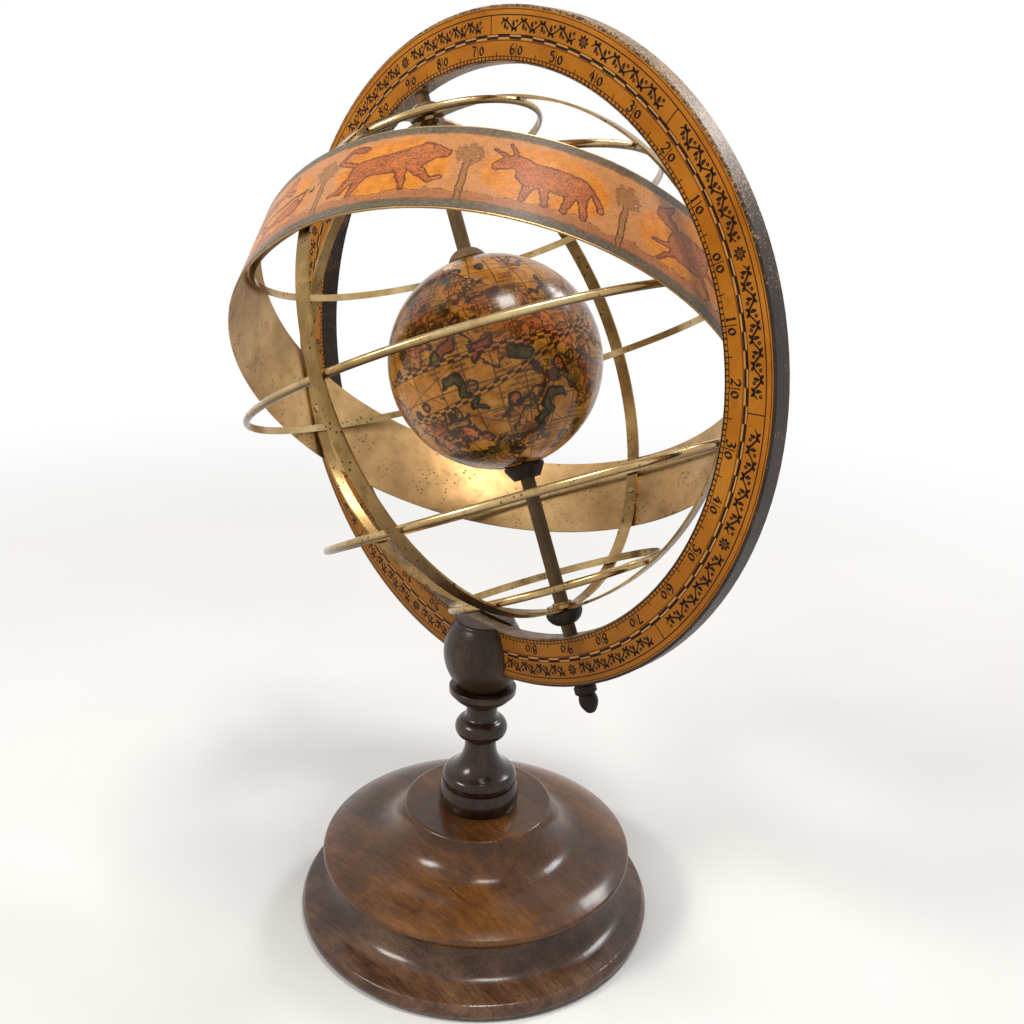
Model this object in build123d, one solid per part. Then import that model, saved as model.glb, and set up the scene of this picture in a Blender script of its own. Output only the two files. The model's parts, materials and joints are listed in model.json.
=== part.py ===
from build123d import *
import math
import os

# Armillary sphere on a turned wooden stand, in millimetres.
# Origin: middle of the foot's flat underside. +Z up. The wooden meridian ring
# stands in the XZ plane, its main printed face towards -Y.
# The polar axis lies in the ring's plane, leaning towards -X at the top.

# ---------------------------------------------------------------- foot disc
FOOT_OVERHANG = 22.4       # widest radius of the foot, outside the waist
FOOT_UNDER_STEP = 2.4      # underside edge is this much inside the widest radius
FOOT_BULGE_H = 3.6         # height of the widest point
FOOT_EDGE_STEP = 0.9       # end of the round edge, inside the widest radius
FOOT_EDGE_H = 4.0          # rise from the widest point to the end of the round edge
FOOT_TURN_W = 1.7          # rounding from the edge to the slope
FOOT_TURN_H = 1.4
FOOT_TURN_SAG = 0.35
FOOT_SLOPE_W = 8.3         # nearly flat slope inside the edge
FOOT_SLOPE_H = 1.5
FOOT_COVE_H = 14.0         # rise of the cove
FOOT_COVE_SAG = 3.27       # depth of the cove below its chord
WAIST_R = 73.5             # radius where foot disc and upper disc meet

# --------------------------------------------------------------- upper disc
UPPER_OVERHANG = 10.8      # widest radius of the upper disc, outside the waist
UPPER_UNDER_STEP = 2.0     # end of the lower cove, inside the widest radius
UPPER_COVE_H = 9.1         # rise of the lower cove
UPPER_COVE_SAG = 2.5       # depth of the lower cove
UPPER_BULGE_H = 2.0        # from the lower cove to the widest point
UPPER_EDGE_STEP = 0.9      # top edge, inside the widest radius
UPPER_EDGE_H = 2.0         # from the widest point to the top edge
UPPER_SLOPE_H = 4.8        # rise of the rounded slope inside the top edge
UPPER_SLOPE_SAG = 1.0      # fullness of that slope
PLATEAU_W = 6.5            # nearly flat plateau round the boss
PLATEAU_RISE = 0.4
BOSS_COVE_W = 19.1         # width of the cove from the plateau up to the boss
BOSS_R = 40.4              # radius of the boss at its top edge
BOSS_H = 18.0              # rise of the boss cove
BOSS_COVE_SAG = 4.8        # depth of the boss cove
BOSS_EDGE = 2.1            # rounding of the boss's top edge

# ------------------------------------------------------------------- column
DRUM_R = 21.7              # widest radius of the drum at the foot of the column
DRUM_FOOT_STEP = 0.8       # its lower edge, inside the widest radius
DRUM_TOP_STEP = 1.7        # its upper edge, inside the widest radius
DRUM_WIDEST_H = 4.1        # from the boss to its widest radius
DRUM_H = 12.0
GROOVE_DEPTH = 2.8         # groove between drum and bell
GROOVE_H = 1.3
BELL_R = 20.05             # widest radius of the bell
BELL_FOOT_STEP = 0.55      # its lower edge, inside the widest radius
BELL_TOP_STEP = 2.75       # end of its round part, inside the widest radius
BELL_WIDEST_H = 2.2
BELL_H = 6.4
FLARE_H = 15.0             # hollow flare from the bell up to the neck
FLARE_SAG = 2.3
NECK_R = 8.45
NECK_H = 3.0
NECK_FLARE = 1.95          # hollow flare from the neck out to the bead
NECK_FLARE_H = 2.0
NECK_FLARE_SAG = 0.35
BEAD_R = 14.1              # bead in the middle of the column
BEAD_WIDEST_H = 5.3
BEAD_H = 10.5
UPPER_NECK_R = 8.35
UPPER_NECK_H = 5.2
UPPER_FLARE = 2.25         # hollow flare from the bead in to the upper neck
UPPER_FLARE_H = 2.5
UPPER_FLARE_SAG = 0.5
SAUCER_FLARE = 1.25        # hollow flare from the upper neck out to the saucer
SAUCER_FLARE_H = 2.1
SAUCER_FLARE_SAG = 0.3
SAUCER_R = 17.9            # saucer that carries the slotted ball
SAUCER_H = 6.0             # rise of its rounded underside
SAUCER_SAG = 1.0
LIP_STEP = 0.7             # end of the underside, inside the lip's radius
LIP_STEP_H = 0.4
LIP_H = 3.2                # straight lip of the saucer
LIP_EDGE = 0.5

# ------------------------------------------------------------- slotted ball
HEAD_FOOT_STEP = 5.4       # flat that sits on the saucer, inside its radius
HEAD_R = 21.4              # widest radius
HEAD_WIDEST_H = 19.4
HEAD_H = 38.5
HEAD_TOP_R = 16.0          # where the side ends and the top edge begins
HEAD_EDGE = 2.3            # rounding of the top edge
SLOT_FLOOR_H = 12.7        # from the ball's flat to the lowest point of the ring
SLOT_SIDE = 0.1            # gap on each side of ring and papers in the slot
SLOT_BED = 0.05            # gap under the ring in the slot

# ------------------------------------------------- joints inside the stand
SPIGOT_R = 30.0            # spigot of the upper disc in the foot disc
SPIGOT_H = 6.0
TENON_R = 9.0              # column's tenon in the boss
TENON_H = 16.0
HEAD_TENON_R = 6.0         # ball's tenon in the saucer
HEAD_TENON_H = 12.0
GLUE_FIT = 0.1             # gap round each spigot and tenon
GLUE_END = 0.5             # gap under the end of each tenon and the spigot
SCREW_R = 2.5              # screw that pulls the stand together
SCREW_BITE = 12.0          # how far it reaches into the column
SCREW_FIT = 0.5            # clearance round it in foot and upper disc
SCREW_HEAD_R = 5.0
SCREW_HEAD_H = 3.5
SCREW_DRIVE_W = 1.2        # driver slot
SCREW_DRIVE_DEPTH = 1.5
WASHER_R = 9.0
WASHER_T = 1.2
SINK_FIT = 2.0             # room round the washer in its counterbore
SINK_DEPTH = 8.0
PEG_R = 4.0                # peg through ball and ring
PEG_INSET = 6.0            # its axis, inside the ball's widest radius
PEG_UP = 12.5              # its height over the floor of the slot
PEG_FIT = 0.05

# ------------------------------------------------------------ meridian ring
RING_W = 24.2              # radial width of the wood
RING_GAP = 9.5             # room between the cage's farthest corner and the ring
RING_T = 9.6               # thickness of the wood
RING_EDGE = 0.4            # softened edges
PAPER_T = 0.2              # printed paper on each face
PAPER_OUT_MARGIN = 1.3     # bare wood outside the paper
PAPER_IN_MARGIN = 0.8      # bare wood inside the paper
TILT = 25.8                # lean of the polar axis from upright, degrees

# --------------------------------------------------------------------- axle
ROD_R = 3.5
RUN_FIT = 0.08             # running gap round the rod, all bores that turn
ROD_FIT = 0.03             # glued or pinned pieces on the rod
END_GAP = 0.4              # gap at the faces that turn against each other
ROD_UP_INTO_RING = 15.0    # rod's reach into the ring at the upper pole
ROD_END_ROOM = 3.0         # room past the rod's upper end
ROD_DOWN_PAST_RING = 4.2   # rod's reach past the ring at the lower pole
KNOB_COLLAR_WALL = 2.0     # collar's wall round the rod
KNOB_COLLAR_H = 4.4
KNOB_COLLAR_EDGE = 0.7
KNOB_NECK_STEP = 0.9       # neck under the collar, inside the knob's radius
KNOB_WALL = 1.2            # knob's wall round the rod, at its widest
KNOB_WIDEST_H = 3.3        # from the collar to the knob's widest point
KNOB_TIP_STEP = 1.5        # start of the round tip, inside the widest radius
KNOB_BODY_H = 7.6
KNOB_TIP_H = 2.2
SPACER_WALL = 5.5          # spacer's wall round the rod
SPACER_RIM_H = 1.3
SPACER_END_WALL = 0.9
SPACER_TAPER_H = 5.2
SPACER_SAG = 0.85          # fullness of its rounded side
CUP_WALL = 6.4             # cone collar under the globe: wall round the rod
CUP_RIM_H = 1.5
CUP_END_WALL = 3.1
CUP_H = 6.9
CAP_WALL = 5.9             # domed collar over the globe: wall round the rod
CAP_RIM_H = 0.4
CAP_END_WALL = 1.1
CAP_H = 5.3
CAP_SAG = 0.7              # fullness of the dome

# -------------------------------------------------------------------- globe
GLOBE_R = 52.3
GLOBE_WALL = 4.0
GLOBE_LIP_H = 3.0          # lip of the northern half inside the southern one
GLOBE_LIP_T = 2.0
GLOBE_LIP_FIT = 0.1
GLOBE_BOSS_WALL = 4.9      # bearing boss inside each pole: wall round the rod
GLOBE_BOSS_H = 9.0

# --------------------------------------------------------------- brass cage
COLURE_R = 124.6           # outer radius of the four half circles
COLURE_T = 1.2
COLURE_W = 7.0
COLURE_TURN = 12.4         # azimuth of the first one about the polar axis
COLURE_END_GAP = 1.3       # ends stop this far short of each other or the rod
COLURE_COUNT = 4
BAND_W = 3.7               # parallels: half-round rods, width of the flat inside
BAND_EDGE_T = 0.5          # straight edge between the flat and the round
BAND_CROWN = 1.5           # height of the round over its edges
BAND_SEAT = 0.02           # gap between a parallel and the colures where they cross
TROPIC_LAT = 33.5          # latitude of each tropic, degrees
POLAR_LAT = 64.6           # latitude of each polar circle, degrees
SOLDER_W = 5.0             # solder wedges: width across the colure
SOLDER_NEAR = 0.9          # their near and far edge, from the crossing point
SOLDER_FAR = 1.8
SOLDER_FIT = 0.02          # gap to rod and colure
ZODIAC_W = 45.6
ZODIAC_T = 0.8
ZODIAC_SEAT = 0.05         # gap between the zodiac band and the colures
ZODIAC_TILT = 39.5         # angle between its axis and the polar axis
ZODIAC_TURN = -83.9        # azimuth of its northernmost point
PRINT_T = 0.2              # printed strip outside the zodiac band
PRINT_MARGIN = 0.6         # bare brass at each edge of the strip
HUB_LAP = 2.8              # how far the hub's disc reaches under the colures
HUB_RIM_H = 1.6
HUB_COLLAR_WALL = 1.2      # hub collar's wall round the rod
HUB_COLLAR_H = 1.0
RIVET_R = 0.9
RIVET_FIT = 0.03
RIVET_HEAD_R = 1.6
RIVET_HEAD_H = 0.5

# ------------------------------------------------------ radii that follow on
FOOT_R = WAIST_R + FOOT_OVERHANG
UPPER_R = WAIST_R + UPPER_OVERHANG
PLATEAU_R = BOSS_R + BOSS_COVE_W
SLOPE_END_R = PLATEAU_R + PLATEAU_W
HEAD_FOOT_R = SAUCER_R - HEAD_FOOT_STEP
PEG_OUT = HEAD_R - PEG_INSET
KNOB_COLLAR_R = ROD_R + KNOB_COLLAR_WALL
KNOB_R = ROD_R + KNOB_WALL
KNOB_TIP_R = KNOB_R - KNOB_TIP_STEP
SPACER_R = ROD_R + SPACER_WALL
SPACER_END_R = ROD_R + SPACER_END_WALL
CUP_R = ROD_R + CUP_WALL
CUP_END_R = ROD_R + CUP_END_WALL
CAP_R = ROD_R + CAP_WALL
CAP_END_R = ROD_R + CAP_END_WALL
GLOBE_BOSS_R = ROD_R + GLOBE_BOSS_WALL
COLURE_END = max(ROD_R, COLURE_W / 2) + COLURE_END_GAP
COLURE_IN_R = COLURE_R - COLURE_T
BAND_ROUND = (BAND_W * BAND_W / 4 + BAND_CROWN * BAND_CROWN) / (2 * BAND_CROWN)
BAND_PATH_R = COLURE_IN_R - BAND_SEAT - BAND_ROUND
HUB_R = COLURE_END + HUB_LAP
HUB_COLLAR_R = ROD_R + HUB_COLLAR_WALL
ZODIAC_IN_R = math.hypot(COLURE_R, COLURE_W / 2) + ZODIAC_SEAT
ZODIAC_OUT_R = ZODIAC_IN_R + ZODIAC_T
PRINT_HALF_W = ZODIAC_W / 2 - PRINT_MARGIN
CAGE_REACH = max(
    math.hypot(ZODIAC_OUT_R, ZODIAC_W / 2),
    math.hypot(ZODIAC_OUT_R + PRINT_T, PRINT_HALF_W),
)
RING_IN_R = CAGE_REACH + RING_GAP
RING_R = RING_IN_R + RING_W

# ---------------------------------------------------------- stack of heights
FOOT_TURN_Z = FOOT_BULGE_H + FOOT_EDGE_H
FOOT_SLOPE_Z = FOOT_TURN_Z + FOOT_TURN_H
FOOT_COVE_Z = FOOT_SLOPE_Z + FOOT_SLOPE_H
WAIST_Z = FOOT_COVE_Z + FOOT_COVE_H
UPPER_EDGE_Z = WAIST_Z + UPPER_COVE_H + UPPER_BULGE_H + UPPER_EDGE_H
SLOPE_END_Z = UPPER_EDGE_Z + UPPER_SLOPE_H
PLATEAU_Z = SLOPE_END_Z + PLATEAU_RISE
BOSS_Z = PLATEAU_Z + BOSS_H + BOSS_EDGE
DRUM_Z = BOSS_Z + DRUM_H
BELL_Z = DRUM_Z + GROOVE_H
FLARE_Z = BELL_Z + BELL_H
NECK_Z = FLARE_Z + FLARE_H
NECK_FLARE_Z = NECK_Z + NECK_H
BEAD_Z = NECK_FLARE_Z + NECK_FLARE_H
UPPER_FLARE_Z = BEAD_Z + BEAD_H
UPPER_NECK_Z = UPPER_FLARE_Z + UPPER_FLARE_H
SAUCER_FLARE_Z = UPPER_NECK_Z + UPPER_NECK_H
SAUCER_Z = SAUCER_FLARE_Z + SAUCER_FLARE_H
LIP_STEP_Z = SAUCER_Z + SAUCER_H
LIP_Z = LIP_STEP_Z + LIP_STEP_H
HEAD_Z = LIP_Z + LIP_H
CENTRE_Z = HEAD_Z + SLOT_FLOOR_H + RING_R
PEG_Z = HEAD_Z + SLOT_FLOOR_H + PEG_UP

# The polar frame: its origin is the ring's centre, its Z the polar axis
# (towards the upper pole) and its Y the same as the model's Y.
POLAR = Location((0, 0, CENTRE_Z), (0, -TILT, 0))
ZODIAC = Rot(0, 0, ZODIAC_TURN) * Rot(0, -ZODIAC_TILT, 0)


# ------------------------------------------------------------------ helpers
def turned(*edges):
    """Solid turned about Z from a closed run of (r, z) edges."""
    return revolve(Plane.XZ * make_face(edges), Axis.Z)


def line(*points):
    """Straight edges through (r, z) points."""
    return Polyline(*points)


def dome(radius, edge, tip):
    """Arc from (radius, edge) to (0, tip) whose centre lies on the axis."""
    rise = edge - tip
    ball = (radius * radius + rise * rise) / (2 * rise)
    half = math.asin(min(1.0, radius / ball)) / 2
    middle = (ball * math.sin(half), tip + ball * (1 - math.cos(half)))
    return ThreePointArc((radius, edge), middle, (0, tip))


def cyl(radius, low, high):
    """Upright cylinder about Z from one height to another."""
    return Pos(0, 0, (low + high) / 2) * Cylinder(radius, high - low)


def tube(outer, inner, low, high):
    """Upright tube about Z."""
    return cyl(outer, low, high) - cyl(inner, low - 1, high + 1)


def rod_across(radius, length, x, z):
    """Cylinder along Y, centred on the XZ plane."""
    return Pos(x, 0, z) * Rot(90, 0, 0) * Cylinder(radius, length)


def group(solids):
    """Separate solids kept together as one node."""
    return Compound(children=list(solids))


def mirrored(shape):
    """The same piece at the other pole of the polar frame."""
    return mirror(shape, Plane.XY)


# --------------------------------------------------------------------- foot
def make_base_lower():
    under_r = FOOT_R - FOOT_UNDER_STEP
    edge_r = FOOT_R - FOOT_EDGE_STEP
    turn_r = edge_r - FOOT_TURN_W
    slope_r = turn_r - FOOT_SLOPE_W
    edge = (edge_r, FOOT_TURN_Z)
    turn = (turn_r, FOOT_SLOPE_Z)
    slope = (slope_r, FOOT_COVE_Z)
    waist = (WAIST_R, WAIST_Z)
    body = turned(
        line((0, WAIST_Z), (0, 0), (under_r, 0)),
        ThreePointArc((under_r, 0), (FOOT_R, FOOT_BULGE_H), edge),
        SagittaArc(edge, turn, -FOOT_TURN_SAG),
        line(turn, slope),
        SagittaArc(slope, waist, FOOT_COVE_SAG),
        line(waist, (0, WAIST_Z)),
    )
    body -= cyl(SPIGOT_R + GLUE_FIT, WAIST_Z - SPIGOT_H - GLUE_END, WAIST_Z + 1)
    body -= cyl(WASHER_R + SINK_FIT, -1, SINK_DEPTH)
    body -= cyl(SCREW_R + SCREW_FIT, -1, WAIST_Z)
    return body


def make_base_upper():
    cove = (UPPER_R - UPPER_UNDER_STEP, WAIST_Z + UPPER_COVE_H)
    bulge = (UPPER_R, WAIST_Z + UPPER_COVE_H + UPPER_BULGE_H)
    edge = (UPPER_R - UPPER_EDGE_STEP, UPPER_EDGE_Z)
    slope = (SLOPE_END_R, SLOPE_END_Z)
    plateau = (PLATEAU_R, PLATEAU_Z)
    boss = (BOSS_R, PLATEAU_Z + BOSS_H)
    flat = (BOSS_R - BOSS_EDGE, BOSS_Z)
    body = turned(
        line((0, BOSS_Z), (0, WAIST_Z), (WAIST_R, WAIST_Z)),
        SagittaArc((WAIST_R, WAIST_Z), cove, UPPER_COVE_SAG),
        ThreePointArc(cove, bulge, edge),
        SagittaArc(edge, slope, -UPPER_SLOPE_SAG),
        line(slope, plateau),
        SagittaArc(plateau, boss, BOSS_COVE_SAG),
        RadiusArc(boss, flat, -BOSS_EDGE),
        line(flat, (0, BOSS_Z)),
    )
    body += cyl(SPIGOT_R, WAIST_Z - SPIGOT_H, WAIST_Z + 1)
    body -= cyl(TENON_R + GLUE_FIT, BOSS_Z - TENON_H - GLUE_END, BOSS_Z + 1)
    body -= cyl(SCREW_R + SCREW_FIT, WAIST_Z - SPIGOT_H - 1, BOSS_Z)
    return body


# ------------------------------------------------------------------- column
def make_column():
    groove_r = DRUM_R - GROOVE_DEPTH
    drum_foot = (DRUM_R - DRUM_FOOT_STEP, BOSS_Z)
    drum_top = (DRUM_R - DRUM_TOP_STEP, DRUM_Z)
    bell_foot = (BELL_R - BELL_FOOT_STEP, BELL_Z)
    bell_top = (BELL_R - BELL_TOP_STEP, FLARE_Z)
    neck_low = (NECK_R, NECK_Z)
    neck_top = (NECK_R, NECK_FLARE_Z)
    bead_foot = (NECK_R + NECK_FLARE, BEAD_Z)
    bead_top = (UPPER_NECK_R + UPPER_FLARE, UPPER_FLARE_Z)
    upper_low = (UPPER_NECK_R, UPPER_NECK_Z)
    upper_top = (UPPER_NECK_R, SAUCER_FLARE_Z)
    saucer_foot = (UPPER_NECK_R + SAUCER_FLARE, SAUCER_Z)
    saucer_top = (SAUCER_R - LIP_STEP, LIP_STEP_Z)
    body = turned(
        line((0, HEAD_Z), (0, BOSS_Z), drum_foot),
        ThreePointArc(drum_foot, (DRUM_R, BOSS_Z + DRUM_WIDEST_H), drum_top),
        line(
            drum_top,
            (groove_r, DRUM_Z + GROOVE_H * 0.25),
            (groove_r, DRUM_Z + GROOVE_H * 0.6),
            bell_foot,
        ),
        ThreePointArc(bell_foot, (BELL_R, BELL_Z + BELL_WIDEST_H), bell_top),
        SagittaArc(bell_top, neck_low, FLARE_SAG),
        line(neck_low, neck_top),
        SagittaArc(neck_top, bead_foot, NECK_FLARE_SAG),
        ThreePointArc(bead_foot, (BEAD_R, BEAD_Z + BEAD_WIDEST_H), bead_top),
        SagittaArc(bead_top, upper_low, UPPER_FLARE_SAG),
        line(upper_low, upper_top),
        SagittaArc(upper_top, saucer_foot, SAUCER_FLARE_SAG),
        SagittaArc(saucer_foot, saucer_top, -SAUCER_SAG),
        line(
            saucer_top,
            (SAUCER_R, LIP_Z),
            (SAUCER_R, HEAD_Z - LIP_EDGE),
            (SAUCER_R - LIP_EDGE, HEAD_Z),
            (0, HEAD_Z),
        ),
    )
    body += cyl(TENON_R, BOSS_Z - TENON_H, BOSS_Z + 1)
    body -= cyl(HEAD_TENON_R + GLUE_FIT, HEAD_Z - HEAD_TENON_H - GLUE_END, HEAD_Z + 1)
    screw_top = BOSS_Z - TENON_H + SCREW_BITE
    body -= cyl(SCREW_R, BOSS_Z - TENON_H - 1, screw_top + GLUE_END)
    return body


def make_column_screw():
    seat = SINK_DEPTH - WASHER_T
    top = BOSS_Z - TENON_H + SCREW_BITE
    body = cyl(SCREW_R, seat - 0.5, top)
    body += cyl(SCREW_HEAD_R, seat - SCREW_HEAD_H, seat)
    slot = Box(SCREW_HEAD_R * 3, SCREW_DRIVE_W, SCREW_DRIVE_DEPTH * 2)
    return body - Pos(0, 0, seat - SCREW_HEAD_H) * slot


def make_screw_washer():
    return tube(WASHER_R, SCREW_R + SCREW_FIT, SINK_DEPTH - WASHER_T, SINK_DEPTH)


# ------------------------------------------------------------- slotted ball
def head_blank():
    top = HEAD_Z + HEAD_H
    side = (HEAD_TOP_R, top - HEAD_EDGE)
    flat = (HEAD_TOP_R - HEAD_EDGE, top)
    return turned(
        line((0, top), (0, HEAD_Z), (HEAD_FOOT_R, HEAD_Z)),
        ThreePointArc((HEAD_FOOT_R, HEAD_Z), (HEAD_R, HEAD_Z + HEAD_WIDEST_H), side),
        RadiusArc(side, flat, -HEAD_EDGE),
        line(flat, (0, top)),
    )


def make_column_head():
    slot_w = RING_T + 2 * PAPER_T + 2 * SLOT_SIDE
    slot = rod_across(RING_R + SLOT_BED, slot_w, 0, CENTRE_Z)
    body = head_blank() + cyl(HEAD_TENON_R, HEAD_Z - HEAD_TENON_H, HEAD_Z + 1)
    return body - slot - peg_shape(PEG_R + PEG_FIT)


def peg_shape(radius):
    return rod_across(radius, 4 * HEAD_R, PEG_OUT, PEG_Z)


def make_ring_peg():
    """Cut flush with the outside of the ball."""
    return peg_shape(PEG_R) & head_blank()


# ------------------------------------------------------------ meridian ring
def ring_bores():
    """Running bore at the lower pole and blind bearing hole at the upper one."""
    blind_end = RING_IN_R + ROD_UP_INTO_RING + ROD_END_ROOM
    lower = cyl(ROD_R + RUN_FIT, -RING_R - 5, -RING_IN_R + 5)
    upper = cyl(ROD_R + RUN_FIT, RING_IN_R - 5, blind_end)
    return POLAR * (lower + upper)


def make_meridian_ring():
    body = Cylinder(RING_R, RING_T) - Cylinder(RING_IN_R, RING_T + 2)
    edge = min(RING_EDGE, RING_T / 3)
    body = chamfer(body.edges().filter_by(GeomType.CIRCLE), edge)
    body = Pos(0, 0, CENTRE_Z) * Rot(90, 0, 0) * body
    return body - ring_bores() - peg_shape(PEG_R + PEG_FIT)


def make_scale(side):
    """Printed paper on one face of the ring: side -1 is the front, +1 the back."""
    outer = RING_R - PAPER_OUT_MARGIN
    inner = RING_IN_R + PAPER_IN_MARGIN
    sheet = Cylinder(outer, PAPER_T) - Cylinder(inner, PAPER_T + 2)
    place = Pos(0, side * (RING_T + PAPER_T) / 2, CENTRE_Z) * Rot(90, 0, 0)
    return place * sheet - peg_shape(PEG_R + PEG_FIT)


# --------------------------------------------------------------------- axle
def make_axis_rod():
    return POLAR * cyl(
        ROD_R, -RING_R - ROD_DOWN_PAST_RING, RING_IN_R + ROD_UP_INTO_RING
    )


def make_finial_knob():
    """Collar, neck and egg-shaped knob on the rod's lower end."""
    top = -RING_R - END_GAP
    low = top - KNOB_COLLAR_H
    body_end = low - KNOB_BODY_H
    tip = body_end - KNOB_TIP_H
    neck_r = KNOB_R - KNOB_NECK_STEP
    edge = KNOB_COLLAR_EDGE
    body = turned(
        line(
            (0, tip),
            (0, top),
            (KNOB_COLLAR_R - edge, top),
            (KNOB_COLLAR_R, top - edge),
            (KNOB_COLLAR_R, low + edge),
            (KNOB_COLLAR_R - edge, low),
            (neck_r, low),
        ),
        ThreePointArc((neck_r, low), (KNOB_R, low - KNOB_WIDEST_H), (KNOB_TIP_R, body_end)),
        dome(KNOB_TIP_R, body_end, tip),
    )
    body -= cyl(ROD_R + ROD_FIT, -RING_R - ROD_DOWN_PAST_RING, top + 1)
    return POLAR * body


def spacer_shape():
    """Bowl-shaped spacer outside the northern hub, narrowing towards the ring."""
    low = COLURE_R + END_GAP
    mid = (SPACER_R, low + SPACER_RIM_H)
    end = (SPACER_END_R, low + SPACER_RIM_H + SPACER_TAPER_H)
    body = turned(
        line((0, end[1]), (0, low), (SPACER_R, low), mid),
        SagittaArc(mid, end, -SPACER_SAG),
        line(end, (0, end[1])),
    )
    return body - cyl(ROD_R + ROD_FIT, low - 1, end[1] + 1)


def make_spacer(side):
    shape = spacer_shape()
    return POLAR * (shape if side > 0 else mirrored(shape))


def against_globe(radius, rim_h, end_r, height, sag):
    """Collar at the northern pole, hollowed to the globe; sag 0 keeps its side straight."""
    reach = GLOBE_R + END_GAP
    rim = math.sqrt(reach * reach - radius * radius)
    start = (radius, rim + rim_h)
    end = (end_r, rim + height)
    side = SagittaArc(start, end, -sag) if sag > 0 else line(start, end)
    body = turned(
        line((0, end[1]), (0, rim - 1), (radius, rim - 1), start),
        side,
        line(end, (0, end[1])),
    )
    return body - Sphere(reach) - cyl(ROD_R + ROD_FIT, 0, end[1] + 1)


def make_globe_collar(side):
    """Low dome over the globe, short straight cone under it."""
    if side > 0:
        return POLAR * against_globe(CAP_R, CAP_RIM_H, CAP_END_R, CAP_H, CAP_SAG)
    return POLAR * mirrored(against_globe(CUP_R, CUP_RIM_H, CUP_END_R, CUP_H, 0))


# -------------------------------------------------------------------- globe
def half_space(side):
    """Large block on one side of the equator's plane."""
    size = 4 * GLOBE_R
    return Pos(0, 0, side * size / 2) * Box(size, size, size)


def globe_half(side):
    inner = GLOBE_R - GLOBE_WALL
    shell = (Sphere(GLOBE_R) - Sphere(inner)) & half_space(side)
    boss_end = inner - GLOBE_BOSS_H
    boss_top = GLOBE_R - GLOBE_WALL / 2
    boss = tube(GLOBE_BOSS_R, ROD_R, boss_end, boss_top)
    shell += boss if side > 0 else mirrored(boss)
    return shell - Cylinder(ROD_R + RUN_FIT, 3 * GLOBE_R)


def lip_tube(grow, height):
    """Rebate on the inside of the globe's wall at the equator."""
    outer = GLOBE_R - GLOBE_WALL + GLOBE_LIP_T + grow
    inner = GLOBE_R - GLOBE_WALL
    return tube(outer, inner - 5, -height, GLOBE_LIP_H)


def make_globe_north():
    lip = lip_tube(0, GLOBE_LIP_H) - Sphere(GLOBE_R - GLOBE_WALL)
    lip &= half_space(-1)
    return POLAR * (globe_half(1) + lip)


def make_globe_south():
    recess = lip_tube(GLOBE_LIP_FIT, GLOBE_LIP_H + GLOBE_LIP_FIT)
    return POLAR * (globe_half(-1) - recess)


# --------------------------------------------------------------- brass cage
def colure_shape():
    """Half circle from pole to pole on the +X side of the polar frame."""
    ring = Cylinder(COLURE_R, COLURE_W) - Cylinder(COLURE_IN_R, COLURE_W + 2)
    ring = Rot(90, 0, 0) * ring
    size = 3 * COLURE_R
    return ring & (Pos(COLURE_END + size / 2, 0, 0) * Box(size, size, size))


def colure_turn(index):
    return COLURE_TURN + index * 360 / COLURE_COUNT


def crossing_latitude(turn):
    """Latitude of the zodiac band's middle line on the colure at this azimuth."""
    lead = math.radians(turn - ZODIAC_TURN)
    return math.degrees(math.atan(math.tan(math.radians(ZODIAC_TILT)) * math.cos(lead)))


def radial_places():
    """Where the rivets go: polar frame turned so that X runs out through each."""
    places = []
    for index in range(COLURE_COUNT):
        turn = colure_turn(index)
        places.append(Rot(0, 0, turn) * Rot(0, -crossing_latitude(turn), 0) * Rot(0, 90, 0))
    return places


def rivet_holes():
    reach = COLURE_R * 1.2
    hole = cyl(RIVET_R + RIVET_FIT, COLURE_R * 0.8, reach)
    return [place * hole for place in radial_places()]


def make_colure(index):
    body = Rot(0, 0, colure_turn(index)) * colure_shape()
    return POLAR * (body - rivet_holes()[index])


def parallel_shape(latitude):
    """Half-round rod bent to a circle that touches inside the colures."""
    angle = math.radians(latitude)
    path_r = BAND_PATH_R * math.cos(angle)
    path_z = BAND_PATH_R * math.sin(angle)
    edge_r = path_r + BAND_ROUND - BAND_CROWN
    in_r = edge_r - BAND_EDGE_T
    low = path_z - BAND_W / 2
    high = path_z + BAND_W / 2
    return turned(
        line((edge_r, high), (in_r, high), (in_r, low), (edge_r, low)),
        ThreePointArc((edge_r, low), (path_r + BAND_ROUND, path_z), (edge_r, high)),
    )


def make_parallel(latitude):
    return POLAR * parallel_shape(latitude)


def seam_turn():
    """Angle along the zodiac band where its two strips meet, over the first colure."""
    lead = math.radians(COLURE_TURN - ZODIAC_TURN)
    tilt = math.radians(ZODIAC_TILT)
    return math.degrees(math.atan2(math.sin(lead) * math.cos(tilt), math.cos(lead)))


def make_zodiac_band(side):
    """One of the two half-circle strips, butted over the first and third colures."""
    size = 3 * ZODIAC_OUT_R
    half = Rot(0, 0, seam_turn()) * Pos(0, side * size / 2, 0) * Box(size, size, size)
    strip = tube(ZODIAC_OUT_R, ZODIAC_IN_R, -ZODIAC_W / 2, ZODIAC_W / 2) & half
    body = ZODIAC * strip
    for hole in rivet_holes():
        body -= hole
    return POLAR * body


def make_zodiac_print():
    outer = ZODIAC_OUT_R + PRINT_T
    body = ZODIAC * tube(outer, ZODIAC_OUT_R, -PRINT_HALF_W, PRINT_HALF_W)
    for hole in rivet_holes():
        body -= hole
    return POLAR * body


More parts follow.
